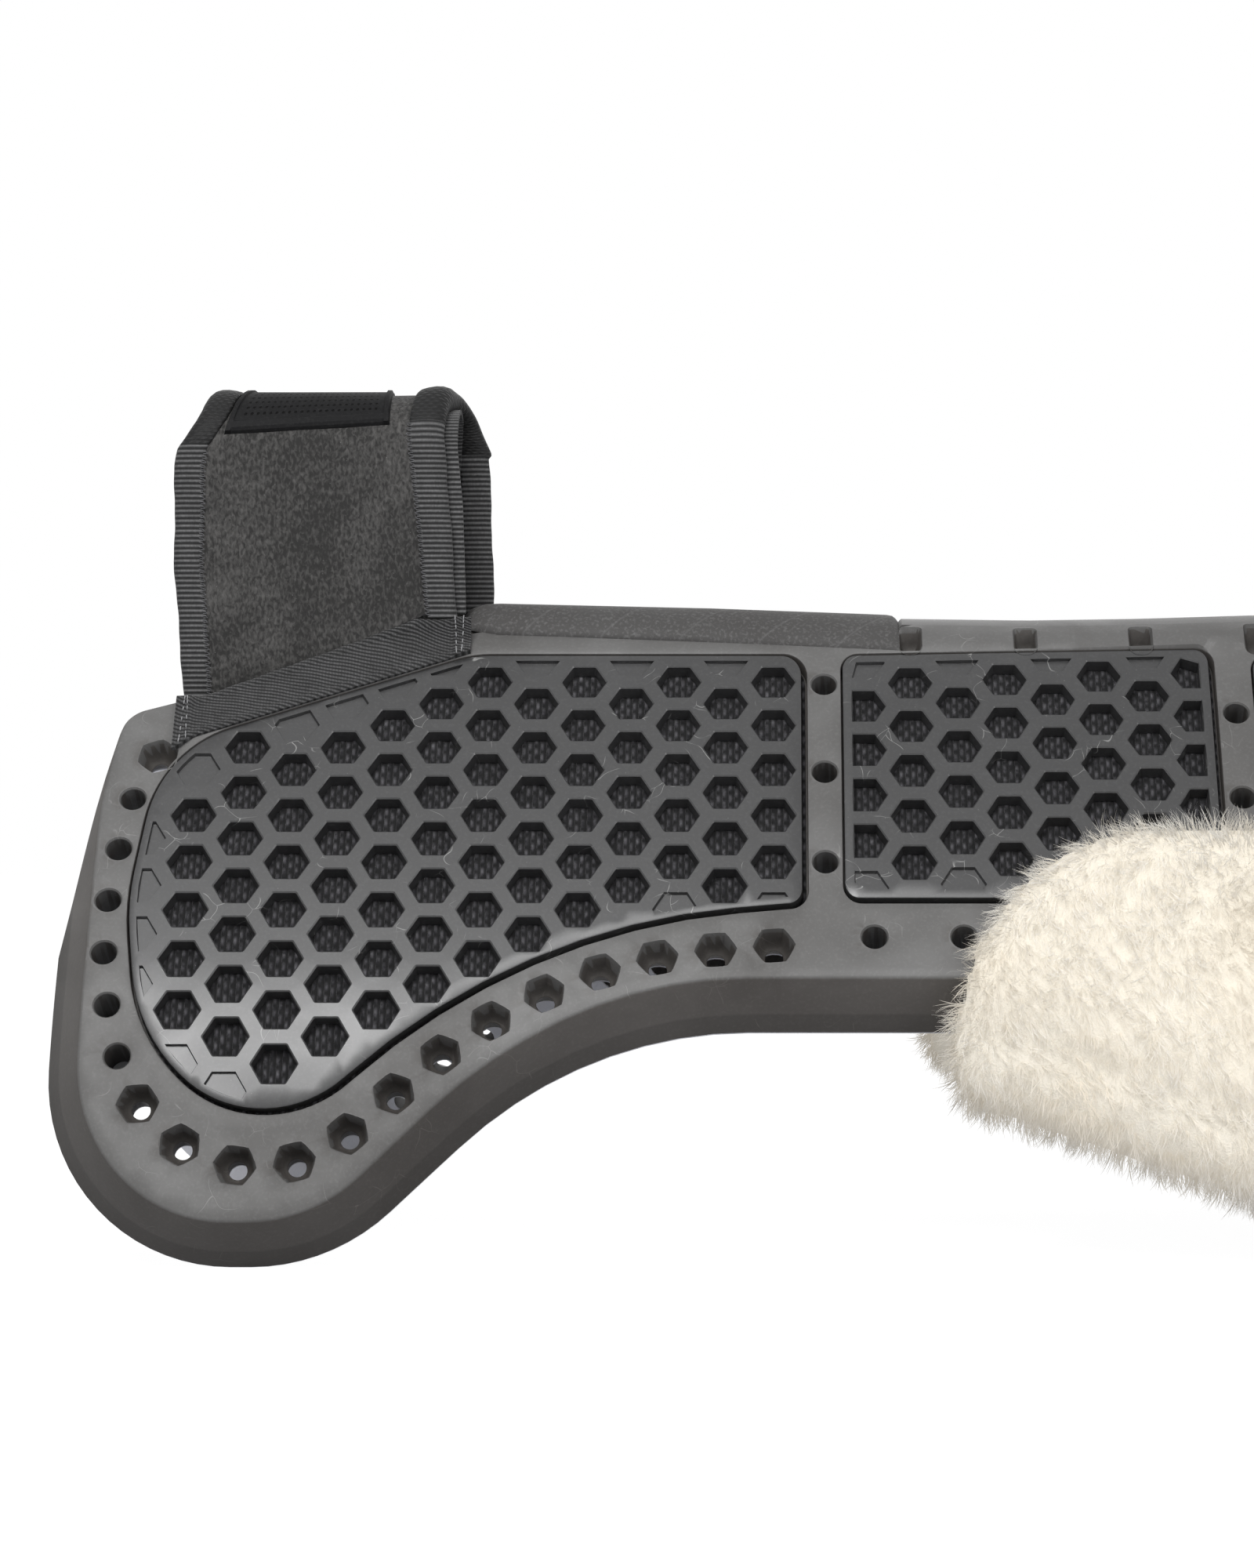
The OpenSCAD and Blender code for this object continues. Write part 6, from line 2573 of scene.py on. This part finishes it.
class Studio:
    """Floor, lights and camera."""

    def build(self) -> None:
        """Sets the scene round the object."""
        scene = bpy.context.scene
        scene.view_settings.view_transform = "Standard"
        self.world(scene)
        self.floor()
        self.lamps()
        self.camera(scene)

    @staticmethod
    def world(scene: bpy.types.Scene) -> None:
        """Even white light, and plain white behind the object.

        Args:
            scene: The scene.
        """
        world = bpy.data.worlds.new("studio")
        world.use_nodes = True
        world.node_tree.nodes.clear()
        b = Bench(world.node_tree)
        path = b.add("ShaderNodeLightPath")
        seen = b.math("MAXIMUM", path.outputs["Is Camera Ray"], path.outputs["Is Glossy Ray"])
        seen = b.math("MAXIMUM", seen, path.outputs["Is Transmission Ray"])
        strength = b.math("ADD", b.math("MULTIPLY", seen, 0.7), 0.3)
        back = b.add("ShaderNodeBackground", {"Color": (1, 1, 1, 1), "Strength": strength})
        sink = b.add("ShaderNodeOutputWorld")
        b.tree.links.new(back.outputs[0], sink.inputs[0])
        scene.world = world

    @staticmethod
    def floor() -> None:
        """A wide pale floor that takes the object's shadow."""
        mesh = bpy.data.meshes.new("studio_floor")
        half, low = 6.0, -0.0004
        corners = [(-half, -half, low), (half, -half, low), (half, half, low), (-half, half, low)]
        mesh.from_pydata(corners, [], [(0, 1, 2, 3)])
        floor = bpy.data.objects.new("studio_floor", mesh)
        bpy.context.scene.collection.objects.link(floor)
        material = bpy.data.materials.new("studio_paper")
        material.use_nodes = True
        material.node_tree.nodes.clear()
        b = Bench(material.node_tree)
        path = b.add("ShaderNodeLightPath")
        tone = b.mix(path.outputs["Is Diffuse Ray"], (0.86, 0.86, 0.86), (0.50, 0.50, 0.52))
        paper = b.add("ShaderNodeBsdfDiffuse", {"Color": tone})
        glow = b.add("ShaderNodeEmission", {"Color": (1, 1, 1, 1), "Strength": 1.13})
        share = b.math("MULTIPLY", path.outputs["Is Camera Ray"], 0.86)
        mixed = b.add("ShaderNodeMixShader", {0: share, 1: paper.outputs[0], 2: glow.outputs[0]})
        sink = b.add("ShaderNodeOutputMaterial")
        b.tree.links.new(mixed.outputs[0], sink.inputs[0])
        mesh.materials.append(material)

    @staticmethod
    def lamps() -> None:
        """A large soft light in front to the left, a weaker one on the right, and a faint one behind."""
        for name, place, aim, size, power in (
            ("key", (-0.44, -1.5, 1.36), (-0.1, -0.09, 0.09), 0.8, 34.0),
            ("fill", (1.3, -1.6, 0.75), (0.05, -0.1, 0.1), 1.1, 16.0),
            ("back", (0.2, 1.3, 1.1), (0.0, 0.0, 0.15), 1.2, 4.0),
        ):
            light = bpy.data.lights.new(name, "AREA")
            light.size = size
            light.energy = power
            lamp = bpy.data.objects.new(name, light)
            bpy.context.scene.collection.objects.link(lamp)
            lamp.location = place
            lamp.rotation_euler = (Vector(aim) - Vector(place)).to_track_quat("-Z", "Y").to_euler()

    @staticmethod
    def camera(scene: bpy.types.Scene) -> None:
        """A long lens on the near side, level with the pad and a little ahead of its middle.

        Args:
            scene: The scene.
        """
        data = bpy.data.cameras.new("camera")
        data.sensor_width = 36.0
        distance_m, frame_m = 1.450, 0.530
        data.lens = data.sensor_width * distance_m / frame_m
        data.shift_x = -0.0468 / frame_m
        camera = bpy.data.objects.new("camera", data)
        scene.collection.objects.link(camera)
        camera.location = (-0.042, -0.075 - distance_m, 0.159)
        camera.rotation_euler = (math.radians(90), 0.0, 0.0)
        scene.camera = camera


def main() -> None:
    """Builds the pieces in order."""
    logging.basicConfig(level=logging.INFO, format="%(message)s")
    Studio().build()
    finishes = Finishes()
    pad = Pad(finishes)
    pad.build()
    Spine(finishes, pad.mould).build()
    Strap(finishes, Sewing(finishes)).build()
    Fleece(finishes, pad.mould).build()


if __name__ == "__main__":
    main()
